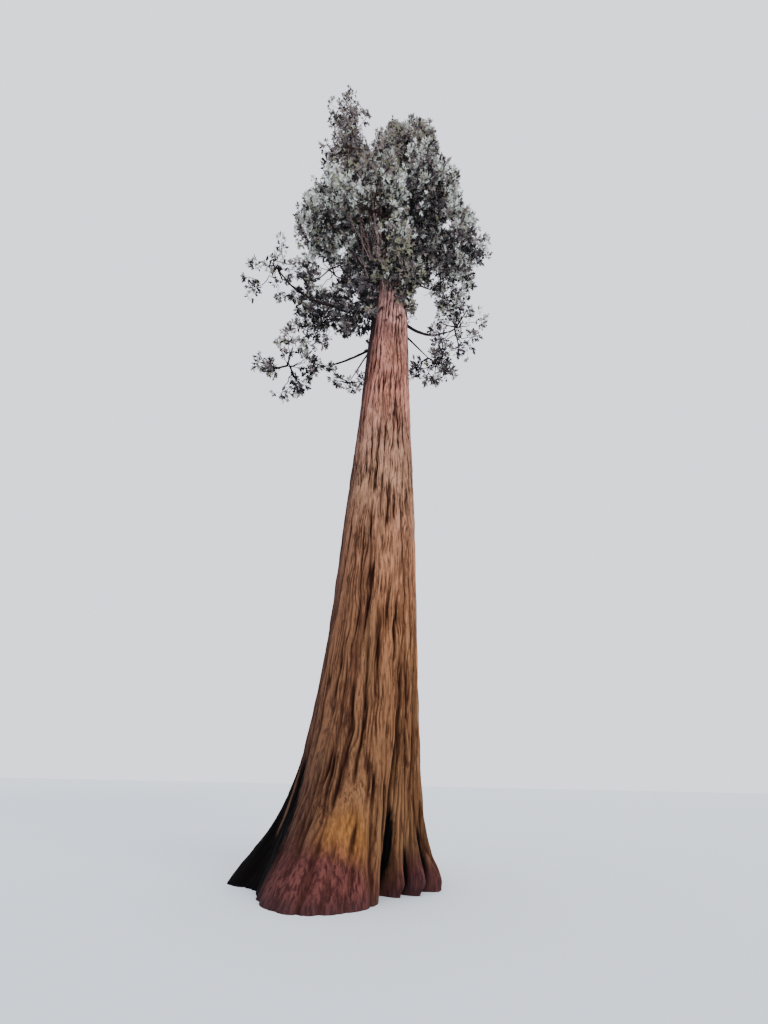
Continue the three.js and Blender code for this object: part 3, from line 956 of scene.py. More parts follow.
TIERS = (
    Tier(12.3, 0.0, 1.0, 0.95, 0.105, 0.34, {
        "low_left": Row(168, 3.3, -0.3, 1.0, Habit.THIN, Look.DARK),
        "low_right": Row(20, 1.55, -0.2, 0.66, Habit.THIN, Look.DARK),
        "low_tuft": Row(145, 1.5, -0.9, 0.6, Habit.THIN, Look.DARK, low=0.0),
    }),
    Tier(13.6, 2.7, 1.25, 1.65, 0.15, 0.16, {
        "left": Row(190, 4.35, -0.2, 0.95, Habit.THIN, Look.DARK),
        "left_inner": Row(157, 3.0, -0.2, 0.95, Habit.OPEN, Look.DARK, cored=True),
        "right_outer": Row(28, 3.0, -0.4, 0.95, Habit.THIN, Look.DARK),
        "front_tuft": Row(262, 1.33, -0.3, 0.6, Habit.CROWDED, Look.OLIVE),
    }),
    Tier(16.4, 3.6, 1.6, 2.45, 0.14, 0.1, {
        "front_left": Row(200, 2.9, 0.0, 1.0, Habit.OPEN, Look.FROSTED),
        "front": Row(250, 2.0, -1.2, 0.85, Habit.OPEN, Look.RIMED),
        "front_right": Row(308, 2.05, 0.3, 0.9, Habit.DENSE, Look.SHADED, cored=True),
        "right": Row(352, 2.35, -1.6, 0.85, Habit.DENSE, Look.SHADED, low=-0.6, cored=True),
        "back_right": Row(38, 2.95, 0.2, 1.0, Habit.OPEN, Look.DARK, low=-0.35, cored=True),
        "back": Row(85, 2.8, 0.6, 1.05, Habit.SPARSE, Look.DARK, low=-0.3, cored=True),
        "back_left": Row(158, 3.1, 0.2, 0.95, Habit.SPARSE, Look.DARK),
    }),
    Tier(20.8, 3.7, 1.6, 2.55, 0.12, 0.1, {
        "upper_left": Row(187, 3.25, 0.0, 1.0, Habit.OPEN, Look.SHADED),
        "upper_back_left": Row(132, 2.95, 0.0, 1.05, Habit.DENSE, Look.DARK, cored=True),
        "upper_back": Row(75, 2.8, 0.4, 1.05, Habit.DENSE, Look.DARK, cored=True),
        "upper_right": Row(8, 2.35, 0.0, 1.0, Habit.DENSE, Look.SHADED, cored=True),
        "upper_front": Row(283, 2.15, -0.3, 0.88, Habit.DENSE, Look.DOME, cored=True),
        "upper_front_left": Row(226, 3.1, -0.3, 0.78, Habit.THIN, Look.SPIRE),
    }),
    Tier(25.2, 3.9, 1.55, 2.55, 0.1, 0.1, {
        "high_left": Row(178, 2.6, 0.0, 1.0, Habit.OPEN, Look.RIMED),
        "high_back": Row(98, 2.5, 0.2, 1.05, Habit.DENSE, Look.DARK, cored=True),
        "high_right": Row(18, 2.2, 0.0, 1.0, Habit.DENSE, Look.SHADED, cored=True),
        "high_front": Row(282, 1.7, 0.0, 0.78, Habit.DENSE, Look.DOME, cored=True),
    }),
    Tier(29.6, 3.8, 1.4, 2.5, 0.08, 0.1, {
        "top_back_left": Row(138, 2.1, 0.0, 1.05, Habit.OPEN, Look.FROSTED),
        "top_back_right": Row(52, 1.9, 0.2, 1.05, Habit.DENSE, Look.SHADED, cored=True),
        "top_right": Row(338, 1.5, -0.1, 0.95, Habit.DENSE, Look.DOME, cored=True),
        "spire_low": Row(183, 2.9, -0.4, 0.95, Habit.SPARSE, Look.SPIRE),
    }),
    Tier(34.6, 3.0, 1.15, 2.3, 0.055, 0.1, {
        "crown_left": Row(190, 0.95, 0.0, 0.95, Habit.OPEN, Look.DOME),
        "crown_right": Row(10, 0.85, 0.4, 1.1, Habit.DENSE, Look.DOME, cored=True),
        "spire_top": Row(201, 3.75, -0.3, 0.9, Habit.SPARSE, Look.SPIRE),
    }),
)

# Boughs of the second leader, which rise like a trunk: their roots' height and radius in metres
LEADERS = {"spire_top": (22.8, 0.15), "spire_low": (27.6, 0.09)}


@dataclass(frozen=True)
class LimbRule:
    """How a bough runs from the trunk to its mass, as the solid boughs do.

    A mass closer to the trunk than stem_reach has no bough, only a stem. That reach and
    root_step are in metres, root_stride mixes the order of the roots, and the rest are shares.
    """

    stem_reach: float = 1.4
    trunk_stem_share: float = 0.42
    root_step: float = 0.36
    root_stride: int = 3
    stem_drop: float = 0.6
    root_depth: float = 0.4
    bend: float = 0.62
    leader_bend: float = 0.55
    bend_rise: float = 0.1
    shortest: float = 0.2
    entry_depth: float = 0.7
    tip_share: float = 0.42
    collar: float = 0.5
    collar_length: float = 0.1
    stem_end_share: float = 0.35
    entry_step: float = 0.01


RULE = LimbRule()


def bezier(controls: Sequence[Array], share: Array | float) -> Array:
    """Places on a quadratic curve.

    Args:
        controls: Its start, its bend and its end.
        share: How far along, from 0 to 1, one number or several.

    Returns:
        One place, or one a row.
    """
    t = np.asarray(share, dtype=float)[..., None]
    start, bend, end = controls
    return start * (1 - t) ** 2 + bend * (2 * t * (1 - t)) + end * t ** 2


@dataclass
class Mass:
    """One mass of foliage and the limb that carries it.

    A leader has its own root and girth, one on_trunk has no bough of its own, and a dense one a
    solid core. heart is its middle, size its half widths and half height, and entry the share of
    the limb's curve at which the limb enters it.
    """

    name: str
    index: int
    tier: Tier
    row: Row
    place: int
    leader: bool = field(init=False)
    on_trunk: bool = field(init=False)
    dense: bool = field(init=False)
    girth: float = field(init=False)
    outward: Array = field(init=False)
    heart: Array = field(init=False)
    size: Array = field(init=False)
    limb: tuple[Array, Array, Array] = field(init=False)
    entry: float = field(init=False)

    def __post_init__(self) -> None:
        """Works out the mass's heart, its size and its limb's course."""
        row, tier = self.row, self.tier
        count = len(tier.rows)
        step = RULE.root_step * ((self.place * RULE.root_stride) % (count + 1))
        self.leader = self.name in LEADERS
        root, self.girth = LEADERS.get(self.name, (tier.root + step, tier.girth))
        self.outward = compass(row.angle)
        self.heart = TRUNK.centre(tier.root + tier.rise + row.lift) + self.outward * row.reach
        self.size = np.array([tier.across, tier.across, tier.tall]) * row.scale
        self.on_trunk = row.reach < RULE.stem_reach
        self.dense = row.cored
        foot = self.heart[2] - self.size[2] * RULE.stem_drop if self.on_trunk else root
        base = TRUNK.centre(foot)
        start = base + self.outward * TRUNK.bole(foot) * RULE.root_depth
        run = float(np.hypot(*(self.heart - base)[:2]))
        bend = base + self.outward * run * (RULE.leader_bend if self.leader else RULE.bend)
        bend[2] += (self.heart[2] - base[2]) * RULE.bend_rise - (0 if self.leader else run * tier.sag)
        self.limb = (start, bend, self.heart.copy())
        shares = np.arange(1.0, RULE.shortest - RULE.entry_step, -RULE.entry_step)
        outside = np.nonzero(self.depth(bezier(self.limb, shares)) >= RULE.entry_depth)[0]
        self.entry = float(shares[outside[0]]) if len(outside) else RULE.shortest

    def depth(self, points: Array) -> Array:
        """How far out points lie in the mass, 1 on its surface."""
        return np.linalg.norm((points - self.heart) / self.size, axis=-1)

    def place_in(self, direction: Array, depth: Array | float) -> Array:
        """Places at a direction and a depth from the heart."""
        return self.heart + direction * self.size * np.asarray(depth)[..., None]

    def limb_radius(self, share: Array) -> Array:
        """Radius of the limb at shares of its curve, from the collar to the end of its stem."""
        if self.on_trunk:
            thick = self.girth * RULE.trunk_stem_share
            return thick * (1 + (RULE.stem_end_share - 1) * share)
        first = np.clip(share / self.entry, 0, 1)
        taper = 1 + (RULE.tip_share - 1) * first
        bough = taper + RULE.collar * np.exp(-first / RULE.collar_length)
        after = np.clip((share - self.entry) / max(1 - self.entry, TINY), 0, 1)
        return self.girth * (bough - RULE.tip_share * (1 - RULE.stem_end_share) * after)


def plan_masses() -> list[Mass]:
    """Every mass, from the lowest tier up."""
    masses: list[Mass] = []
    for tier in TIERS:
        for place, (name, row) in enumerate(tier.rows.items()):
            masses.append(Mass(name, len(masses), tier, row, place))
    return masses


@dataclass
class CrownSpace:
    """Which mass a place belongs to, and whether it is clear of the wood."""

    masses: list[Mass]
    outside_depth: float = 1.05
    nearer_share: float = 1.08
    nearer_gap: float = 0.03
    trunk_margin: float = 0.07
    bough_margin: float = 0.11
    bough_samples: int = 25
    spots: Array = field(init=False)
    radii: Array = field(init=False)

    def __post_init__(self) -> None:
        """Samples every bough for the test of what is clear of it."""
        spots, radii = [], []
        for mass in self.masses:
            if not mass.on_trunk:
                share = np.linspace(0, mass.entry, self.bough_samples)
                spots.append(bezier(mass.limb, share))
                radii.append(mass.limb_radius(share))
        self.spots = np.vstack(spots)
        self.radii = np.concatenate(radii)

    def owned(self, mass: Mass, points: Array, most: float = 1.0) -> Array:
        """Whether each point is in a mass's own space, nearer to it than to its neighbours.

        Args:
            mass: The mass.
            points: Places in metres, one a row.
            most: Greatest depth that still counts as inside the mass.

        Returns:
            One answer a point.
        """
        depths = np.stack([each.depth(points) for each in self.masses], axis=1)
        own = depths[:, mass.index]
        limit = own * self.nearer_share + self.nearer_gap
        free = (depths > self.outside_depth) | (depths > limit[:, None])
        free[:, mass.index] = True
        return (own <= most) & (points[:, 2] <= TRUNK.height) & free.all(axis=1)

    def clear(self, points: Array) -> Array:
        """Whether each point is clear of the trunk and of every bough."""
        centre = TRUNK.centre(points[:, 2])
        gap = np.hypot(*(points - centre)[:, :2].T)
        beside = gap > TRUNK.bole(points[:, 2]) + self.trunk_margin
        above = points[:, 2] > TRUNK.top + self.trunk_margin
        away = np.linalg.norm(points[:, None] - self.spots, axis=2)
        return (beside | above) & (away > self.radii + self.bough_margin).all(axis=1)

    def fits(self, mass: Mass, points: Array) -> Array:
        """Whether each point is in the mass's own space and clear of the wood."""
        return self.owned(mass, points) & self.clear(points)


# Limbs


def frames_along(path: Array) -> tuple[Array, Array]:
    """Two directions across a path at each of its points, carried along without twist.

    Args:
        path: Points of the path, one a row.

    Returns:
        The first and the second direction, so that the first, the second and the way along
        make a right-handed set.
    """
    along = unit(np.gradient(path, axis=0))
    firsts = [unit(np.cross(along[0], UP if abs(along[0][2]) < STEEP else SIDEWAYS))]
    for direction in along[1:]:
        carried = firsts[-1] - direction * np.dot(firsts[-1], direction)
        firsts.append(unit(carried))
    across = np.array(firsts)
    return across, np.cross(along, across)


@dataclass
class Bough:
    """A limb with its collar, a slow wander along its course and rough bark."""

    mass: Mass
    sides: int = 14
    step: float = 0.11
    slimness: float = 0.4
    leader_slimness: float = 0.55
    length_samples: int = 40
    fewest_rings: int = 8
    wander: float = 0.12
    wander_length: float = 5.0
    wander_cell: Triple = (1.2, 1.2, 1.2)
    mass_shift: float = 3.7
    axis_shift: float = 11.3
    bark_grain: Grain = Grain((0.09, 0.09, 0.13), 4.4)
    bark_depth: float = 0.3
    hollow_shade_gain: float = 2.2
    share: Array = field(init=False)
    path: Array = field(init=False)

    def __post_init__(self) -> None:
        """Works out points along the limb, and the share of its course at each."""
        rough = bezier(self.mass.limb, np.linspace(0, 1, self.length_samples))
        length = np.linalg.norm(np.diff(rough, axis=0), axis=1).sum()
        share = np.linspace(0, 1, max(int(length / self.step), self.fewest_rings))
        points = bezier(self.mass.limb, share)
        swing = self.wander * np.sin(math.pi * share)[:, None] * min(length / self.wander_length, 1)
        shifts = (self.mass.index * self.mass_shift + axis * self.axis_shift for axis in range(3))
        moves = np.stack([Grain(self.wander_cell, shift).at(points) for shift in shifts], axis=1)
        self.share, self.path = share, points + swing * moves

    def build(self, finish: bpy.types.Material) -> bpy.types.Object:
        """Makes the limb.

        Args:
            finish: Bark material.

        Returns:
            One closed limb, from inside the trunk to the heart of its mass.
        """
        path = self.path
        first, second = frames_along(path)
        turn = np.arange(self.sides) * 2 * math.pi / self.sides
        across = first[:, None] * np.cos(turn)[:, None] + second[:, None] * np.sin(turn)[:, None]
        slim = self.leader_slimness if self.mass.leader else self.slimness
        radius = self.mass.limb_radius(self.share) * slim
        plain = (path[:, None] + across * radius[:, None, None]).reshape(-1, 3)
        rough = self.bark_grain.at(plain).reshape(len(path), self.sides)
        swollen = radius[:, None] * (1 + self.bark_depth * rough)
        vertices = (path[:, None] + across * swollen[..., None]).reshape(-1, 3)
        # Painted shade in the hollows of the rough bark
        furrow = np.clip(-rough.ravel() * self.hollow_shade_gain, 0, 1)
        values = {"furrow": np.append(furrow, [0, 0])}
        name = f"limb_{self.mass.name}"
        faces = tube_faces(len(path), self.sides)
        return mesh_object(name, np.vstack([vertices, path[0], path[-1]]), faces, finish, values)


# Growth inside the masses


@dataclass(frozen=True)
class SkyGap:
    """A gap in the crown that shows sky from EYE: its bearing from +Y, its rise and its half width.

    All three are in degrees.
    """

    bearing: float
    rise: float
    half: float

    def holds(self, away: Array) -> Array:
        """Whether each direction from EYE, a unit vector a row, looks through the gap."""
        turn = compass(90 - self.bearing) * math.cos(math.radians(self.rise))
        middle = turn + UP * math.sin(math.radians(self.rise))
        return away @ middle > math.cos(math.radians(self.half))


SKY_GAPS = (
    # Left of the bole, among the dark masses
    SkyGap(-17.0, 65.6, 1.0), SkyGap(-20.8, 66.2, 0.86), SkyGap(-19.9, 64.2, 0.88),
    SkyGap(-15.8, 68.1, 0.61), SkyGap(-9.5, 63.5, 0.58), SkyGap(-7.0, 61.4, 0.66),
    SkyGap(-13.5, 57.8, 1.21), SkyGap(-9.7, 58.1, 1.09),
    # Right of the bole, under the crown
    SkyGap(9.7, 64.4, 1.28), SkyGap(10.8, 62.6, 1.56), SkyGap(9.4, 60.9, 1.32),
    SkyGap(9.0, 58.7, 1.35), SkyGap(7.5, 57.0, 0.82), SkyGap(13.8, 66.0, 0.63),
    # Along both flanks
    SkyGap(20.7, 70.6, 0.82), SkyGap(31.2, 71.9, 1.23), SkyGap(31.7, 73.5, 1.2),
    SkyGap(31.2, 75.2, 0.97), SkyGap(-33.1, 67.4, 1.04), SkyGap(-34.7, 69.7, 0.79),
    # Round the two bumps of the dome
    SkyGap(7.6, 80.8, 0.72), SkyGap(30.0, 78.1, 1.46), SkyGap(-10.0, 80.9, 1.03),
    SkyGap(1.0, 81.8, 1.12), SkyGap(15.1, 81.6, 1.11), SkyGap(24.9, 80.6, 1.12),
)


def shows_sky(points: Array) -> Array:
    """Whether each point lies in one of the sky gaps."""
    away = unit(points - EYE)
    return np.any([gap.holds(away) for gap in SKY_GAPS], axis=0)


@dataclass
class Strands:
    """Thin wood as lines with a thickness at each point."""

    lines: list[Array] = field(default_factory=list)
    thickness: list[Array] = field(default_factory=list)

    def add(self, lines: Array, root: float, tip: float) -> None:
        """Takes in lines of one length.

        Args:
            lines: Points by line, by place along it, by axis.
            root: Radius at the first point in metres.
            tip: Radius at the last point in metres.
        """
        if len(lines):
            self.lines.append(lines)
            self.thickness.append(np.tile(np.linspace(root, tip, lines.shape[1]), (len(lines), 1)))

    def triangles(self, sides: int) -> int:
        """Triangles of the strands once they are tubes with closed ends."""
        each = (2 * sides * (line.shape[1] - 1) + 2 * (sides - 2) for line in self.lines)
        return sum(count * len(line) for count, line in zip(each, self.lines))

    def line_object(self, name: str) -> bpy.types.Object:
        """The strands as a mesh of edges that keeps each point's thickness."""
        edges, start = [], 0
        for line in self.lines:
            count, length = line.shape[:2]
            index = np.arange(count * length).reshape(count, length) + start
            edges.append(np.stack([index[:, :-1].ravel(), index[:, 1:].ravel()], axis=1))
            start += count * length
        mesh = bpy.data.meshes.new(name)
        points = np.vstack([line.reshape(-1, 3) for line in self.lines])
        mesh.from_pydata(points.tolist(), np.vstack(edges).tolist(), [])
        layer = mesh.attributes.new("thickness", "FLOAT", "POINT")
        layer.data.foreach_set("value", np.concatenate([each.ravel() for each in self.thickness]))
        return link_object(name, mesh)


@dataclass
class Tufts:
    """Places where sprays stand together: a tuft's centre, the way it faces, its light and its mass.

    The light is how high and far out the tuft stands in its mass and its clump, about -1 to 1.
    The clumps are numbered through the whole crown.
    """

    centres: list[Array] = field(default_factory=list)
    axes: list[Array] = field(default_factory=list)
    lights: list[Array] = field(default_factory=list)
    clumps: list[Array] = field(default_factory=list)
    masses: list[Array] = field(default_factory=list)
    clump_count: int = 0

    def add(self, centres: Array, axes: Array, lights: Array, clumps: Array, mass: Mass) -> None:
        """Takes in the tufts of some clumps of one mass."""
        self.centres.append(centres)
        self.axes.append(axes)
        self.lights.append(lights)
        self.clumps.append(clumps + self.clump_count)
        self.clump_count += int(clumps.max(initial=-1)) + 1
        self.masses.append(np.full(len(centres), mass.index))


@dataclass(frozen=True)
class Sleeve:
    """Short growth on the bole itself, dealt to a mass: heights, angle and fan, reach and clumps."""

    mass: str
    low: float
    high: float
    angle: float
    fan: float
    reach: Pair
    clumps: int


SLEEVES = (
    Sleeve("front_tuft", 14.6, 16.8, 292, 46, (0.12, 0.6), 32),
    Sleeve("front_tuft", 13.8, 15.0, 320, 20, (0.08, 0.3), 10),
    Sleeve("left_inner", 12.6, 16.6, 190, 36, (0.1, 0.8), 30),
    Sleeve("front", 16.2, 21.0, 275, 75, (0.2, 1.0), 50),
    Sleeve("upper_right", 17.0, 24.0, 60, 110, (0.2, 1.2), 44),
    Sleeve("upper_front", 20.5, 26.0, 270, 100, (0.2, 1.2), 44),
    Sleeve("upper_back", 20.7, 23.7, 75, 150, (0.3, 2.4), 84),
    Sleeve("high_back", 25.2, 28.3, 75, 150, (0.3, 2.3), 84),
    Sleeve("high_right", 25.0, 34.0, 0, 180, (0.2, 1.0), 70),
    Sleeve("top_back_right", 30.0, 32.8, 70, 150, (0.3, 1.9), 64),
    Sleeve("crown_right", 33.6, 38.6, 0, 180, (0.12, 0.85), 60),
)


@dataclass(frozen=True)
class Stems:
    """Slim stems that leave the bole steeply and fan up into the foliage in front of it.

    No tuft stands in a narrow space that falls away in front of each, so that the stems show.
    """

    count: int = 16
    foot: Pair = (13.7, 16.8)
    foot_angle: Pair = (198.0, 262.0)
    foot_stride: float = 0.382
    angle_stride: float = 0.618
    foot_depth: float = 0.8
    bend_shares: Pair = (0.55, 0.45)
    bend_out: float = 0.25
    turn: float = 16.0
    top: Pair = (18.5, 23.0)
    reach: Pair = (0.7, 2.0)
    radius: Pair = (0.029, 0.013)
    points: int = 13
    wander: float = 0.04
    open_angle: float = 265.0
    open_fall: float = 2.5
    open_reach: float = 3.2
    open_width: float = 0.15
    open_part: tuple[int, int] = (4, -2)
    seed: int = 5

    def lines(self) -> Array:
        """Course of every stem, by stem, by place along it, by axis."""
        rng = np.random.default_rng(self.seed)
        share = np.linspace(0, 1, self.points)
        made = []
        for number in range(self.count):
            low = np.interp(number * self.foot_stride % 1, (0, 1), self.foot)
            angle = np.interp(number * self.angle_stride % 1, (0, 1), self.foot_angle)
            high = rng.uniform(*self.top)
            outward = compass(angle)
            start = TRUNK.centre(low) + outward * TRUNK.bole(low) * self.foot_depth
            outward = compass(angle + rng.uniform(-self.turn, self.turn))
            end = TRUNK.centre(high) + outward * (TRUNK.bole(high) + rng.uniform(*self.reach))
            near, far = self.bend_shares
            bend = start * near + end * far + outward * self.bend_out
            line = bezier((start, bend, end), share)
            line[1:-1] += rng.normal(size=(self.points - 2, 3)) * self.wander
            made.append(line)
        return np.array(made)

    def bared(self, lines: Array, points: Array) -> Array:
        """Whether each point hangs close below and in front of a stem, where nothing grows."""
        spots = lines[:, slice(*self.open_part)].reshape(-1, 3)
        way = unit(compass(self.open_angle) - UP * self.open_fall)
        gap = points[:, None] - spots
        along = gap @ way
        aside = np.linalg.norm(gap - along[..., None] * way, axis=2)
        return ((along > 0) & (along < self.open_reach) & (aside < self.open_width)).any(axis=1)

    def build(self, lines: Array, sides: int, tree: Tree, names: dict[str, str]) -> None:
        """Makes the stems as one piece.

        Args:
            lines: Course of every stem.
            sides: Number of corners round a stem.
            tree: Tree that gives lines a round section.
            names: Identifiers of its inputs.
        """
        strands = Strands()
        strands.add(lines, *self.radius)
        piece = strands.line_object("stems")
        run_tree(piece, tree, {names["Sides"]: sides, names["Bark"]: STEM_BARK.build()})
        piece.data.shade_smooth()
        seat(piece, ["foliage_front", "foliage_front_left"])


@dataclass
class Growth:
    """Branching of a mass: the rule of the solid crown first, then finer twigs by the same rule.

    A depth is a share of the way from a mass's heart to its surface, a radius and a scatter are
    in metres, and a pair of radii is for the root and the tip.
    """

    space: CrownSpace
    stems: Stems
    stem_lines: Array
    low: Array
    high: Array
    # The rule of the solid crown
    seed: int = 1000
    jostle: float = 0.3
    open_twigs: int = 3
    open_limbs: int = 9
    dense_limbs: int = 10
    core_corners: int = 42
    twig_depth: float = 0.6
    twig_radius: float = 0.04
    twig_tip: float = 0.024
    twig_sag: float = 0.1
    limb_depth: float = 0.9
    limb_depth_range: float = 0.18
    limb_length: float = 0.72
    limb_shortest: float = 0.85
    limb_spread: float = 0.3
    limb_lift: float = 0.22
    limb_tries: tuple[float, ...] = (1.0, 0.85, 0.7)
    # Finer wood, and the places along it that later wood may leave
    wander: float = 0.035
    limb_tip: float = 0.009
    limb_start: int = 2
    branchlet_radius: Pair = (0.013, 0.006)
    branchlet_points: int = 4
    stalk_radius: Pair = (0.006, 0.004)
    wood_samples: int = 8
    first_sample: int = 3
    # Where the clumps of a mass stand, behind the crown's front face, which leans back
    clump_depth: Pair = (0.4, 0.91)
    stretch: float = 1.2
    front_foot: float = -6.6
    front_lean: float = 0.168
    front_round: float = 0.1
    front_middle: float = 1.6
    front_change: float = 0.6
    front_grain: Grain = Grain((0.7, 0.7, 0.7), 3.3)
    edge_depth: float = 0.84
    edge_change: float = 0.34
    edge_grain: Grain = Grain((0.8, 0.8, 0.8), 7.7)
    clump_spacing: float = 0.7
    clump_crowding: float = 1.6
    # Tufts of a clump, the way they turn and their light
    tufts_each: int = 6
    tuft_scatter: float = 0.1
    up_turn: float = 0.35
    out_turn: float = 0.8
    light_range: float = 0.5
    mass_light: float = 0.9
    high_light: float = 0.8
    outer_light: float = 0.5
    clump_light: float = 0.45
    inner_light: float = -0.7
    # Clumps beside a limb, on the bole and in the core of a dense mass
    beside_reach: Pair = (0.2, 0.8)
    beside_counts: tuple[Pair, ...] = ((12.0, 0.7), (13.0, 2.2), (15.0, 5.0))
    beside_start: float = 0.25
    sleeve_drop: float = 0.7
    sleeve_depth: float = 0.9
    core_depth: float = 0.42
    core_clumps: int = 12

    def _directions(self, count: int, random: SeededStream) -> Array:
        """Directions spread evenly over a ball, turned and jostled by the stream."""
        turn = random() * math.pi * 2
        made = []
        for i in range(count):
            height = 1 - (2 * i + 1) / count
            ring = math.sqrt(1 - height * height)
            angle = turn + i * GOLDEN_ANGLE
            direction = np.array([ring * math.cos(angle), ring * math.sin(angle), height])
            shift = np.array([random() - 0.5, random() - 0.5, random() - 0.5])
            made.append(unit(direction + shift * self.jostle))
        return np.array(made)

    def _curve(self, start: Array, end: Array, points: int) -> Array:
        """A twig that sags first and turns up last, as a line of a few points."""
        span = np.linalg.norm(end - start, axis=-1)
        bend = (start + end) / 2 - UP * span * self.twig_sag
        return bezier((start, bend, end), np.linspace(0, 1, points))

    def _samples(self, line: Array) -> Array:
        """Places along a twig that others may grow from, past its own root."""
        return line[self.first_sample:-1]

    def _nearest(self, wood: Array, target: Array) -> Array:
        """The place on the grown wood that is nearest to a target."""
        return wood[np.linalg.norm(target - wood, axis=1).argmin()]

    def grow(self, mass: Mass, path: Array, bare: int, strands: Strands, tufts: Tufts) -> None:
        """Grows one mass.

        Args:
            mass: The mass to fill.
            path: Points along its limb.
            bare: Number of those points before the part that lies inside it.
            strands: Takes the new twigs.
            tufts: Takes the new tufts.
        """
        stem = path[bare:]
        random = SeededStream(self.seed + mass.index)
        rng = np.random.default_rng(self.seed + mass.index)
        twigs: list[Array] = []
        if mass.dense:
            # The solid core takes one draw for each of its corners
            for _ in range(self.core_corners):
                random()
        else:
            twigs = self._main_twigs(mass, random, stem, strands)
        wood = np.vstack([stem, *(self._samples(twig) for twig in twigs)])
        limbs = self._main_limbs(mass, random, rng, wood, strands)
        tips = np.array([line[-1] for line in limbs + twigs])
        wood = np.vstack([wood, *(limb[self.limb_start:] for limb in limbs)])
        spots = self._clumps(mass, rng, tips)
        self._fine_growth(mass, rng, wood, spots, self._standing(mass, spots), strands, tufts)
        for spots, wood in (self._beside(mass, rng, path), self._on_trunk(mass, rng)):
            if len(spots):
                # Painted shade: growth beside the limbs and on the bole is dealt dark tints
                light = np.full(len(spots), self.inner_light)
                self._fine_growth(mass, rng, wood, spots, light, strands, tufts)

    def _main_twigs(
        self, mass: Mass, random: SeededStream, stem: Array, strands: Strands
    ) -> list[Array]:
        """Grows the few twigs of an open mass, and gives their lines."""
        grown: list[Array] = []
        for direction in self._directions(self.open_twigs, random):
            tip = mass.place_in(direction, self.twig_depth)
            wood = np.vstack([stem, *(self._samples(line) for line in grown)])
            line = self._curve(self._nearest(wood, tip), tip, self.wood_samples + 1)
            if self._fits(mass, line):
                strands.add(line[None], self.twig_radius, self.twig_tip)
                grown.append(line)
        return grown

    def _main_limbs(
        self, mass: Mass, random: SeededStream, rng: np.random.Generator, wood: Array, strands: Strands
    ) -> list[Array]:
        """Grows a branch where the solid crown has a spray, and gives their lines."""
        grown = []
        reach = math.sqrt(mass.size[0] * mass.size[2])
        count = self.dense_limbs if mass.dense else self.open_limbs
        for direction in self._directions(count, random):
            full = self.limb_depth + (random() - 0.5) * self.limb_depth_range
            length = reach * self.limb_length * (self.limb_shortest + random() * self.limb_spread)
            # The roll of the solid spray takes one draw
            random()
            for share in self.limb_tries:
                tip = mass.place_in(direction, full * share)
                back = tip - direction * length - UP * length * self.limb_lift
                line = self._curve(self._nearest(wood, back), tip, self.wood_samples + 1)
                if self._fits(mass, line):
                    line = self._wandered(line, rng)
                    strands.add(line[None], self.twig_tip, self.limb_tip)
                    grown.append(line)
                    break
        return grown

    def _fits(self, mass: Mass, line: Array) -> bool:
        """Whether a branch stays in its mass, clear of the wood, with its tip where growth is wanted."""
        inside = self.space.fits(mass, line[self.first_sample:]).all()
        return bool(inside and self._wanted(mass, line[-1:])[0])

    def _wandered(self, line: Array, rng: np.random.Generator) -> Array:
        """A line with its inner points pushed about, so that it looks grown."""
        length = np.linalg.norm(line[-1] - line[0])
        moved = line.copy()
        moved[1:-1] += rng.normal(size=(len(line) - 2, 3)) * length * self.wander
        return moved

    def _standing(self, mass: Mass, spots: Array) -> Array:
        """How high and far out in its mass each spot stands, about -1 to 1."""
        place = (spots - mass.heart) / mass.size
        outward = unit(spots[:, :2] - TRUNK.centre(spots[:, 2])[:, :2])
        out = (place[:, :2] * outward).sum(axis=1)
        return self.mass_light * (self.high_light * place[:, 2] + self.outer_light * out)

    def _beside(self, mass: Mass, rng: np.random.Generator, path: Array) -> tuple[Array, Array]:
        """Spots beside the limb before its mass, and the wood that their twigs leave."""
        outside = path[mass.depth(path) > 1]
        limb = outside[int(len(outside) * self.beside_start):]
        if mass.on_trunk or len(limb) <= 1:
            return np.empty((0, 3)), limb
        rates = [rate for height, rate in self.beside_counts if mass.tier.root >= height]
        length = np.linalg.norm(np.diff(limb, axis=0), axis=1).sum()
        count = int(length * rates[-1]) + 1
        away = unit(rng.normal(size=(count, 3))) * rng.uniform(*self.beside_reach, count)[:, None]
        spots = limb[rng.integers(len(limb), size=count)] + away
        return spots[self.space.clear(spots)], limb

    def _on_trunk(self, mass: Mass, rng: np.random.Generator) -> tuple[Array, Array]:
        """Spots of the mass's growth on the bole, and the places on the bole that it leaves."""
        spots, roots = [np.empty((0, 3))], [np.empty((0, 3))]
        for sleeve in SLEEVES:
            if sleeve.mass != mass.name:
                continue
            turns = np.radians(sleeve.angle + rng.uniform(-sleeve.fan, sleeve.fan, sleeve.clumps))
            outward = np.stack([np.cos(turns), np.sin(turns), np.zeros(sleeve.clumps)], axis=1)
            height = rng.uniform(sleeve.low, sleeve.high, sleeve.clumps)
            away = rng.uniform(*sleeve.reach, sleeve.clumps)
            spots.append(TRUNK.centre(height) + outward * (TRUNK.bole(height) + away)[:, None])
            foot = height - away * self.sleeve_drop
            roots.append(TRUNK.centre(foot) + outward * (TRUNK.bole(foot) * self.sleeve_depth)[:, None])
        return np.vstack(spots), np.vstack(roots)

    def _free(self, points: Array) -> Array:
        """Whether each point is inside the crown's box and out of every sky gap."""
        return ((points > self.low) & (points < self.high)).all(axis=1) & ~shows_sky(points)

    def _wanted(self, mass: Mass, spots: Array) -> Array:
        """Whether clumps may stand at each spot, by the mass's own rule and the front's lean."""
        tall = (spots[:, 2] - mass.heart[2]) / mass.size[2]
        face = self.front_foot + spots[:, 2] * self.front_lean
        face = face + self.front_round * (spots[:, 0] - self.front_middle) ** 2
        face = face + self.front_change * self.front_grain.at(spots)
        behind = spots[:, 1] > face
        return (tall > mass.row.low) & (behind | mass.leader | (mass.row.look is Look.SPIRE))

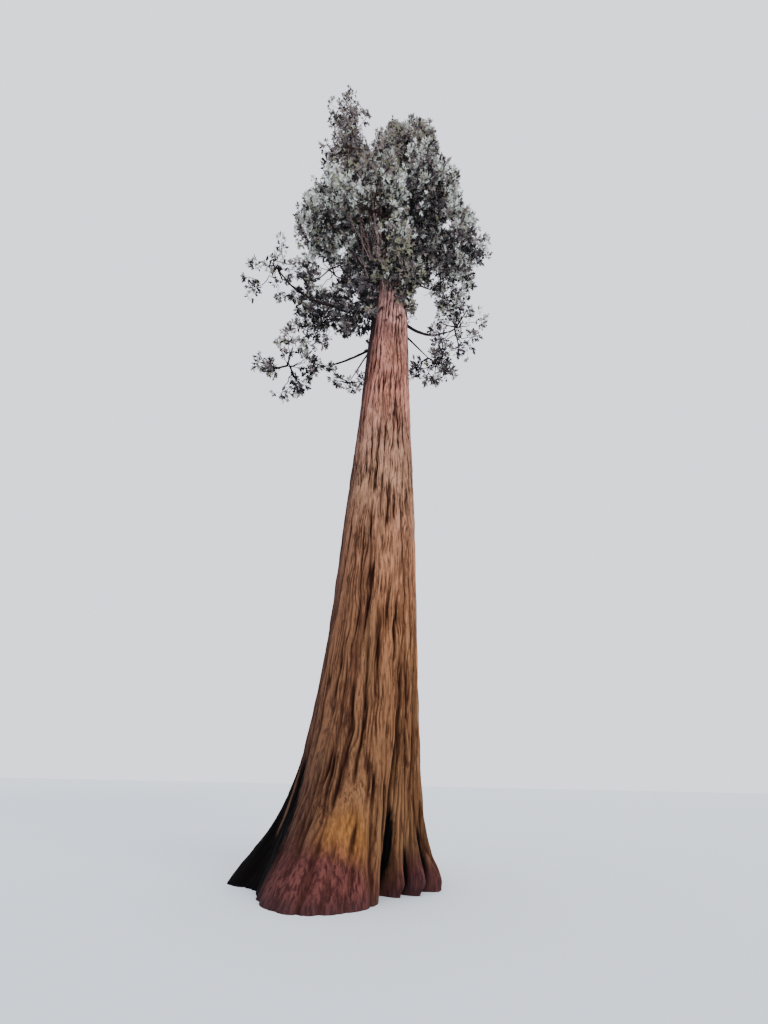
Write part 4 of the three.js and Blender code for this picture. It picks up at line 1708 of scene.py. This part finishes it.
    def _clumps(self, mass: Mass, rng: np.random.Generator, tips: Array) -> Array:
        """Places of the clumps of a mass: its branches' tips, and others spread through its space."""
        volume = 4 / 3 * math.pi * float(np.prod(mass.size))
        count = int(volume * mass.row.habit.value * self.clump_crowding)
        directions = unit(rng.normal(size=(count, 3)))
        least, most = (depth ** 3 for depth in self.clump_depth)
        spots = mass.place_in(directions, rng.uniform(least, most, count) ** (1 / 3))
        inside = mass.depth(spots) < self.edge_depth + self.edge_change * self.edge_grain.at(spots)
        spots = mass.heart + (spots - mass.heart) * np.array([1, 1, self.stretch])
        wanted = inside & self._wanted(mass, spots)
        spots = spots[wanted & self.space.owned(mass, spots, self.stretch) & self.space.clear(spots)]
        if mass.dense:
            inner = mass.place_in(unit(rng.normal(size=(self.core_clumps, 3))), self.core_depth)
            tips = np.vstack([tips, inner[self.space.clear(inner)]])
        tips = tips[self._wanted(mass, tips)]
        spacing = self.clump_spacing * mass.row.habit.value ** (-1 / 3)
        kept = list(tips)
        for spot in spots:
            if np.linalg.norm(np.array(kept) - spot, axis=1).min() > spacing:
                kept.append(spot)
        return np.array(kept[:len(tips) + int(len(spots) / self.clump_crowding)])

    def _branchlets(self, wood: Array, tips: Array, strands: Strands) -> None:
        """Grows a branchlet to each clump, the nearest first, from the wood and from earlier ones."""
        near = np.linalg.norm(tips[:, None] - wood, axis=2).min(axis=1)
        for tip in tips[np.argsort(near)]:
            line = self._curve(self._nearest(wood, tip), tip, self.branchlet_points)
            strands.add(line[None], *self.branchlet_radius)
            wood = np.vstack([wood, line[1:]])

    def _fine_growth(
        self,
        mass: Mass,
        rng: np.random.Generator,
        wood: Array,
        tips: Array,
        standing: Array,
        strands: Strands,
        tufts: Tufts,
    ) -> None:
        """Grows a branchlet to every clump, and the clump's tufts about its tip.

        Args:
            mass: The mass that the clumps belong to.
            rng: Source of the draws.
            wood: Places that branchlets may leave.
            tips: Middle of every clump.
            standing: How high and far out each clump stands.
            strands: Takes the branchlets.
            tufts: Takes the tufts.
        """
        free = self._free(tips)
        tips, standing = tips[free], standing[free]
        self._branchlets(wood, tips, strands)
        each = self.tufts_each
        offsets = (rng.normal(size=(len(tips), each, 3)) * self.tuft_scatter).reshape(-1, 3)
        outward = np.repeat(unit(unit(tips - mass.heart) + UP * self.up_turn), each, axis=0)
        roots = np.repeat(tips, each, axis=0)
        centres = roots + offsets
        axes = unit(unit(offsets) + outward * self.out_turn)
        lights = self.clump_light * (offsets * outward).sum(axis=1) / self.tuft_scatter
        standing = standing + rng.uniform(-1, 1, len(tips)) * self.light_range
        lights = lights + np.repeat(standing, each)
        clumps = np.repeat(np.arange(len(tips)), each)
        inside = self._free(centres) & ~self.stems.bared(self.stem_lines, centres)
        strands.add(np.stack([roots, centres], axis=1)[inside], *self.stalk_radius)
        tufts.add(centres[inside], axes[inside], lights[inside], clumps[inside], mass)


# Sprays


@dataclass(frozen=True)
class Cord:
    """One cord of a spray, in shares of its length: start, length, lean and turn in degrees, width."""

    start: float
    length: float
    lean: float
    turn: float
    width: float


@dataclass(frozen=True)
class Spray:
    """Ropy cords of scale leaves on one stalk, along +Y, each a creased blade of two faces."""

    cords: tuple[Cord, ...] = (
        Cord(0.0, 1.0, 0, 0, 0.24),
        Cord(0.1, 0.58, 46, 15, 0.24),
        Cord(0.24, 0.56, 42, 195, 0.24),
        Cord(0.38, 0.48, 42, 100, 0.22),
        Cord(0.5, 0.42, 38, 285, 0.2),
    )
    widest: float = 0.6
    crease: float = 0.35

    @property
    def triangles(self) -> int:
        """Triangles of one spray."""
        return 2 * len(self.cords)

    def build(self) -> bpy.types.Object:
        """Makes the one spray that is set out over the crown, 1 m long, kept out of the scene."""
        vertices: list[Vector] = []
        faces: Faces = []
        for cord in self.cords:
            lean = Matrix.Rotation(math.radians(cord.lean), 3, "X")
            about = Matrix.Rotation(math.radians(cord.turn), 3, "Y") @ lean
            half = cord.width / 2
            low = -half * self.crease
            middle = self.widest * cord.length
            corners = ((0, 0, 0), (half, middle, low), (0, cord.length, 0), (-half, middle, low))
            first = len(vertices)
            foot = Vector((0, cord.start, 0))
            vertices += [foot + about @ Vector(corner) for corner in corners]
            faces += [(first, first + 1, first + 2), (first, first + 2, first + 3)]
        mesh = bpy.data.meshes.new("spray")
        mesh.from_pydata([tuple(each) for each in vertices], [], faces)
        return bpy.data.objects.new("spray", mesh)


@dataclass
class SprayField:
    """Sets sprays out in tufts and deals each one a tint.

    rime_rise is the rise in degrees, from EYE, above which a rimed mass shows its bare side.
    """

    masses: list[Mass]
    spray: Spray = Spray()
    sprays_each: int = 4
    length: Pair = (0.17, 0.29)
    spread: float = 0.15
    foot_gap: float = 0.02
    clump_draws: float = 0.14
    tuft_draws: float = 0.3
    rime_rise: float = 76.0
    light_middle: float = 0.5
    light_gain: float = 0.5
    upward_light: float = 0.12
    seed: int = 77

    def _tree(self) -> tuple[Tree, dict[str, str]]:
        """Makes the tree that puts a spray on every point, turned and sized by the point's values."""
        inputs = {"Spray": "NodeSocketObject", "Tint": "NodeSocketMaterial"}
        tree, names = new_tree("set_out_sprays", inputs)
        given = add_node(tree, "NodeGroupInput").outputs
        shape = add_node(tree, "GeometryNodeObjectInfo", {"Object": given["Spray"]})
        placed = add_node(tree, "GeometryNodeInstanceOnPoints", {
            "Points": given["Geometry"],
            "Instance": shape.outputs["Geometry"],
            "Rotation": point_value(tree, "turn", "FLOAT_VECTOR"),
            "Scale": point_value(tree, "size", "FLOAT"),
        })
        end_tree(tree, placed.outputs["Instances"], given["Tint"])
        return tree, names

    def _directions(self, axes: Array, rng: np.random.Generator) -> Array:
        """Directions of the sprays of each tuft, spread over a cap about the tuft's axis."""
        count = len(axes)
        height = rng.uniform(self.spread, 1, (count, self.sprays_each))
        ring = np.sqrt(1 - height ** 2)
        turn = rng.uniform(0, 2 * math.pi, (count, self.sprays_each))
        side = unit(np.cross(axes, TUFT_UP))
        other = np.cross(axes, side)
        return (
            axes[:, None] * height[..., None]
            + side[:, None] * (ring * np.cos(turn))[..., None]
            + other[:, None] * (ring * np.sin(turn))[..., None]
        ).reshape(-1, 3)

    def _euler(self, along: Array, roll: Array) -> Array:
        """Turns that point a spray's +Y along each direction, with its face up but for a roll."""
        side = unit(np.cross(along, SPRAY_UP))
        face = np.cross(side, along)
        right = side * np.cos(roll)[:, None] + face * np.sin(roll)[:, None]
        normal = np.cross(right, along)
        return np.stack([
            np.arctan2(along[:, 2], normal[:, 2]),
            np.arcsin(np.clip(-right[:, 2], -1, 1)),
            np.arctan2(right[:, 1], right[:, 0]),
        ], axis=1)

    def _looks(self, owner: Array, feet: Array) -> Array:
        """Shares of the tints for each spray: its mass's own, or the dome's on a rimed mass's bare side."""
        looks = np.array([mass.row.look.value for mass in self.masses])[owner]
        rimed = np.array([mass.row.look in (Look.FROSTED, Look.RIMED) for mass in self.masses])[owner]
        away = feet - EYE
        rise = np.degrees(np.arctan2(away[:, 2], np.hypot(away[:, 0], away[:, 1])))
        return np.where((rimed & (rise > self.rime_rise))[:, None], Look.DOME.value, looks)

    def _tints(
        self, looks: Array, clump: Array, along: Array, light: Array, rng: np.random.Generator
    ) -> Array:
        """Deals a tint to each spray, often that of its tuft or clump, paler outside and on top as painted
        light, darker within as painted shade.

        Args:
            looks: Shares of the tints for each spray.
            clump: Number of the clump of each spray.
            along: Direction of each spray.
            light: How high and far out in its clump and its mass each spray is, from -1 to 1.
            rng: Source of the draws.

        Returns:
            The place in Tint of each spray's colour.
        """
        # Painted light and shade: sprays high, outside and facing up get pale tints, the rest dark ones
        bright = self.light_middle + self.light_gain * light + self.upward_light * along[:, 2]
        bright = np.clip(bright, 0, 1)
        weights = looks * np.stack([tint.value.favour.at(bright) for tint in Tint], axis=1)
        steps = np.cumsum(weights / weights.sum(axis=1, keepdims=True), axis=1)
        count = len(looks)
        clump_draw = rng.uniform(size=int(clump.max()) + 1)[clump]
        tuft_draw = np.repeat(rng.uniform(size=count // self.sprays_each), self.sprays_each)
        kind = rng.uniform(size=count)
        draw = np.where(kind < self.clump_draws + self.tuft_draws, tuft_draw, rng.uniform(size=count))
        draw = np.where(kind < self.clump_draws, clump_draw, draw)
        return np.minimum((draw[:, None] > steps).sum(axis=1), len(Tint) - 1)

    def build(self, tufts: Tufts) -> None:
        """Makes the joined sprays of every tint and seats them in place of the solid masses.

        Args:
            tufts: The tufts of the whole crown.
        """
        rng = np.random.default_rng(self.seed)
        centres, axes = np.vstack(tufts.centres), np.vstack(tufts.axes)
        owner = np.repeat(np.concatenate(tufts.masses), self.sprays_each)
        along = self._directions(axes, rng)
        feet = np.repeat(centres, self.sprays_each, axis=0) + along * self.foot_gap
        size = rng.uniform(*self.length, len(feet))
        turn = self._euler(along, rng.uniform(-math.pi, math.pi, len(feet)))
        light = np.repeat(np.concatenate(tufts.lights), self.sprays_each)
        clump = np.repeat(np.concatenate(tufts.clumps), self.sprays_each)
        tint = self._tints(self._looks(owner, feet), clump, along, light, rng)
        tree, names = self._tree()
        shape = self.spray.build()
        most = PIECE_TRIANGLES // self.spray.triangles
        for number, choice in enumerate(Tint):
            finish = choice.value.build()
            mine = np.nonzero(tint == number)[0]
            parts = np.array_split(mine, max(math.ceil(len(mine) / most), 1))
            for part, chosen in enumerate(parts, start=1):
                name = f"sprays_{choice.name.lower()}_{part}"
                points = self._point_object(name, feet[chosen], turn[chosen], size[chosen])
                run_tree(points, tree, {names["Spray"]: shape, names["Tint"]: finish})
                nodes = [f"foliage_{self.masses[i].name}" for i in np.unique(owner[chosen])]
                seat(points, nodes)
        bpy.data.objects.remove(shape)

    def _point_object(self, name: str, feet: Array, turn: Array, size: Array) -> bpy.types.Object:
        """Loose points that keep the turn and the size of the spray that stands on each."""
        mesh = bpy.data.meshes.new(name)
        mesh.from_pydata(feet.tolist(), [], [])
        mesh.attributes.new("turn", "FLOAT_VECTOR", "POINT").data.foreach_set("vector", turn.ravel())
        mesh.attributes.new("size", "FLOAT", "POINT").data.foreach_set("value", size)
        return link_object(name, mesh)


@dataclass
class Crown:
    """Boughs, twigs and sprays, grown on from the trunk."""

    masses: list[Mass]
    twig_sides: int = 3
    stem_sides: int = 6
    bare_share: float = 0.75
    box_gap: float = 0.04
    stems: Stems = Stems()
    stem_lines: Array = field(init=False)

    def _twig_tree(self) -> tuple[Tree, dict[str, str]]:
        """Makes the tree that gives lines a round section of their own thickness."""
        inputs = {"Sides": "NodeSocketInt", "Bark": "NodeSocketMaterial"}
        tree, names = new_tree("round_twigs", inputs)
        given = add_node(tree, "NodeGroupInput").outputs
        curve = add_node(tree, "GeometryNodeMeshToCurve", {"Mesh": given["Geometry"]})
        ring = add_node(tree, "GeometryNodeCurvePrimitiveCircle", {
            "Resolution": given["Sides"], "Radius": 1.0,
        })
        tube = add_node(tree, "GeometryNodeCurveToMesh", {
            "Curve": curve.outputs["Curve"],
            "Profile Curve": ring.outputs["Curve"],
            "Scale": point_value(tree, "thickness", "FLOAT"),
            "Fill Caps": True,
        })
        end_tree(tree, tube.outputs["Mesh"], given["Bark"])
        return tree, names

    def build(self) -> None:
        """Makes the boughs, then the twigs and tufts of every mass, then the sprays."""
        bark = SHADED_BOUGH_BARK.build()
        space = CrownSpace(self.masses)
        low, high = (np.array(corner) for corner in CAD_BOX)
        self.stem_lines = self.stems.lines()
        growth = Growth(space, self.stems, self.stem_lines, low + self.box_gap, high - self.box_gap)
        tufts = Tufts()
        grown: list[tuple[Mass, Strands]] = []
        for mass in self.masses:
            bough = Bough(mass)
            piece = bough.build(bark)
            seat(piece, [] if mass.on_trunk else [f"bough_{mass.name}"])
            strands = Strands()
            bare = int((bough.share <= mass.entry * self.bare_share).sum())
            growth.grow(mass, bough.path, bare, strands, tufts)
            grown.append((mass, strands))
        self._twigs(grown, bark)
        SprayField(self.masses).build(tufts)

    def _twigs(self, grown: list[tuple[Mass, Strands]], bark: bpy.types.Material) -> None:
        """Joins the twigs of neighbouring masses into pieces, each under the limit."""
        tree, names = self._twig_tree()
        batches: list[tuple[list[Mass], Strands]] = [([], Strands())]
        for mass, strands in grown:
            members, joined = batches[-1]
            if joined.triangles(self.twig_sides) + strands.triangles(self.twig_sides) > PIECE_TRIANGLES:
                members, joined = [], Strands()
                batches.append((members, joined))
            members.append(mass)
            joined.lines += strands.lines
            joined.thickness += strands.thickness
        for number, (members, joined) in enumerate(batches, start=1):
            piece = joined.line_object(f"twigs_{number}")
            run_tree(piece, tree, {names["Sides"]: self.twig_sides, names["Bark"]: bark})
            piece.data.shade_smooth()
            seat(piece, [f"foliage_{mass.name}" for mass in members])
        self.stems.build(self.stem_lines, self.stem_sides, tree, names)


# Camera and studio


@dataclass(frozen=True)
class Viewpoint:
    """A wide lens low in front of the tree, tipped up at its crown."""

    pitch: float = 35.0
    roll: float = 1.2
    lens: float = 13.535
    sensor: float = 36.0
    far: float = 400.0

    def build(self) -> None:
        """Makes the scene's camera."""
        data = bpy.data.cameras.new("camera")
        data.lens = self.lens
        data.sensor_width = self.sensor
        data.clip_end = self.far
        pitch, roll = math.radians(self.pitch), math.radians(self.roll)
        forward = Vector((0, math.cos(pitch), math.sin(pitch)))
        right, up = Vector((1, 0, 0)), Vector((0, -math.sin(pitch), math.cos(pitch)))
        x_axis = right * math.cos(roll) + up * math.sin(roll)
        y_axis = up * math.cos(roll) - right * math.sin(roll)
        camera = link_object("camera", data)
        turn = Matrix((x_axis, y_axis, -forward)).transposed()
        camera.matrix_world = Matrix.Translation(EYE) @ turn.to_4x4()
        bpy.context.scene.camera = camera


@dataclass(frozen=True)
class Sun:
    """A distant soft light.

    Its azimuth is in degrees to the right of the front and its elevation above the horizon, its
    strength is the power over a square metre, and its softness the angle that it seems to fill.
    """

    name: str
    azimuth: float
    elevation: float
    strength: float
    softness: float

    def build(self) -> None:
        """Makes the light."""
        data = bpy.data.lights.new(self.name, "SUN")
        data.energy = self.strength
        data.angle = math.radians(self.softness)
        turn, tilt = math.radians(self.azimuth), math.radians(self.elevation)
        back = Vector((math.sin(turn) * math.cos(tilt), -math.cos(turn) * math.cos(tilt), math.sin(tilt)))
        light = link_object(self.name, data)
        light.matrix_world = back.to_track_quat("Z", "Y").to_matrix().to_4x4()


@dataclass(frozen=True)
class Studio:
    """Plain pale floor and surround, with broad soft light from the front and above."""

    floor_half: float = 150.0
    floor_colour: str = "#cfd6da"
    floor_roughness: float = 0.9
    floor_shine: float = 0.5
    air_colour: str = "#e2e3ee"
    air_strength: float = 2.05
    suns: tuple[Sun, ...] = (Sun("key", 42, 36, 2.2, 40), Sun("fill", -50, 14, 0.3, 70))

    def build(self) -> None:
        """Makes the floor, the surround and the lights."""
        half = self.floor_half
        corners = np.array([(-half, -half, 0), (half, -half, 0), (half, half, 0), (-half, half, 0)])
        material = plain_material(
            "studio_floor", self.floor_colour, self.floor_roughness, self.floor_shine
        )
        mesh_object("studio_floor", corners, [(0, 1, 2, 3)], material)
        world = bpy.data.worlds.new("air")
        world.use_nodes = True
        air = world.node_tree.nodes["Background"]
        air.inputs["Color"].default_value = linear(self.air_colour)
        air.inputs["Strength"].default_value = self.air_strength
        bpy.context.scene.world = world
        for sun in self.suns:
            sun.build()


def main() -> None:
    """Builds the camera, the studio and the tree in order."""
    logging.basicConfig(level=logging.INFO, format="%(name)s %(message)s")
    Viewpoint().build()
    Studio().build()
    Trunk().build()
    Crown(plan_masses()).build()


if __name__ == "__main__":
    main()
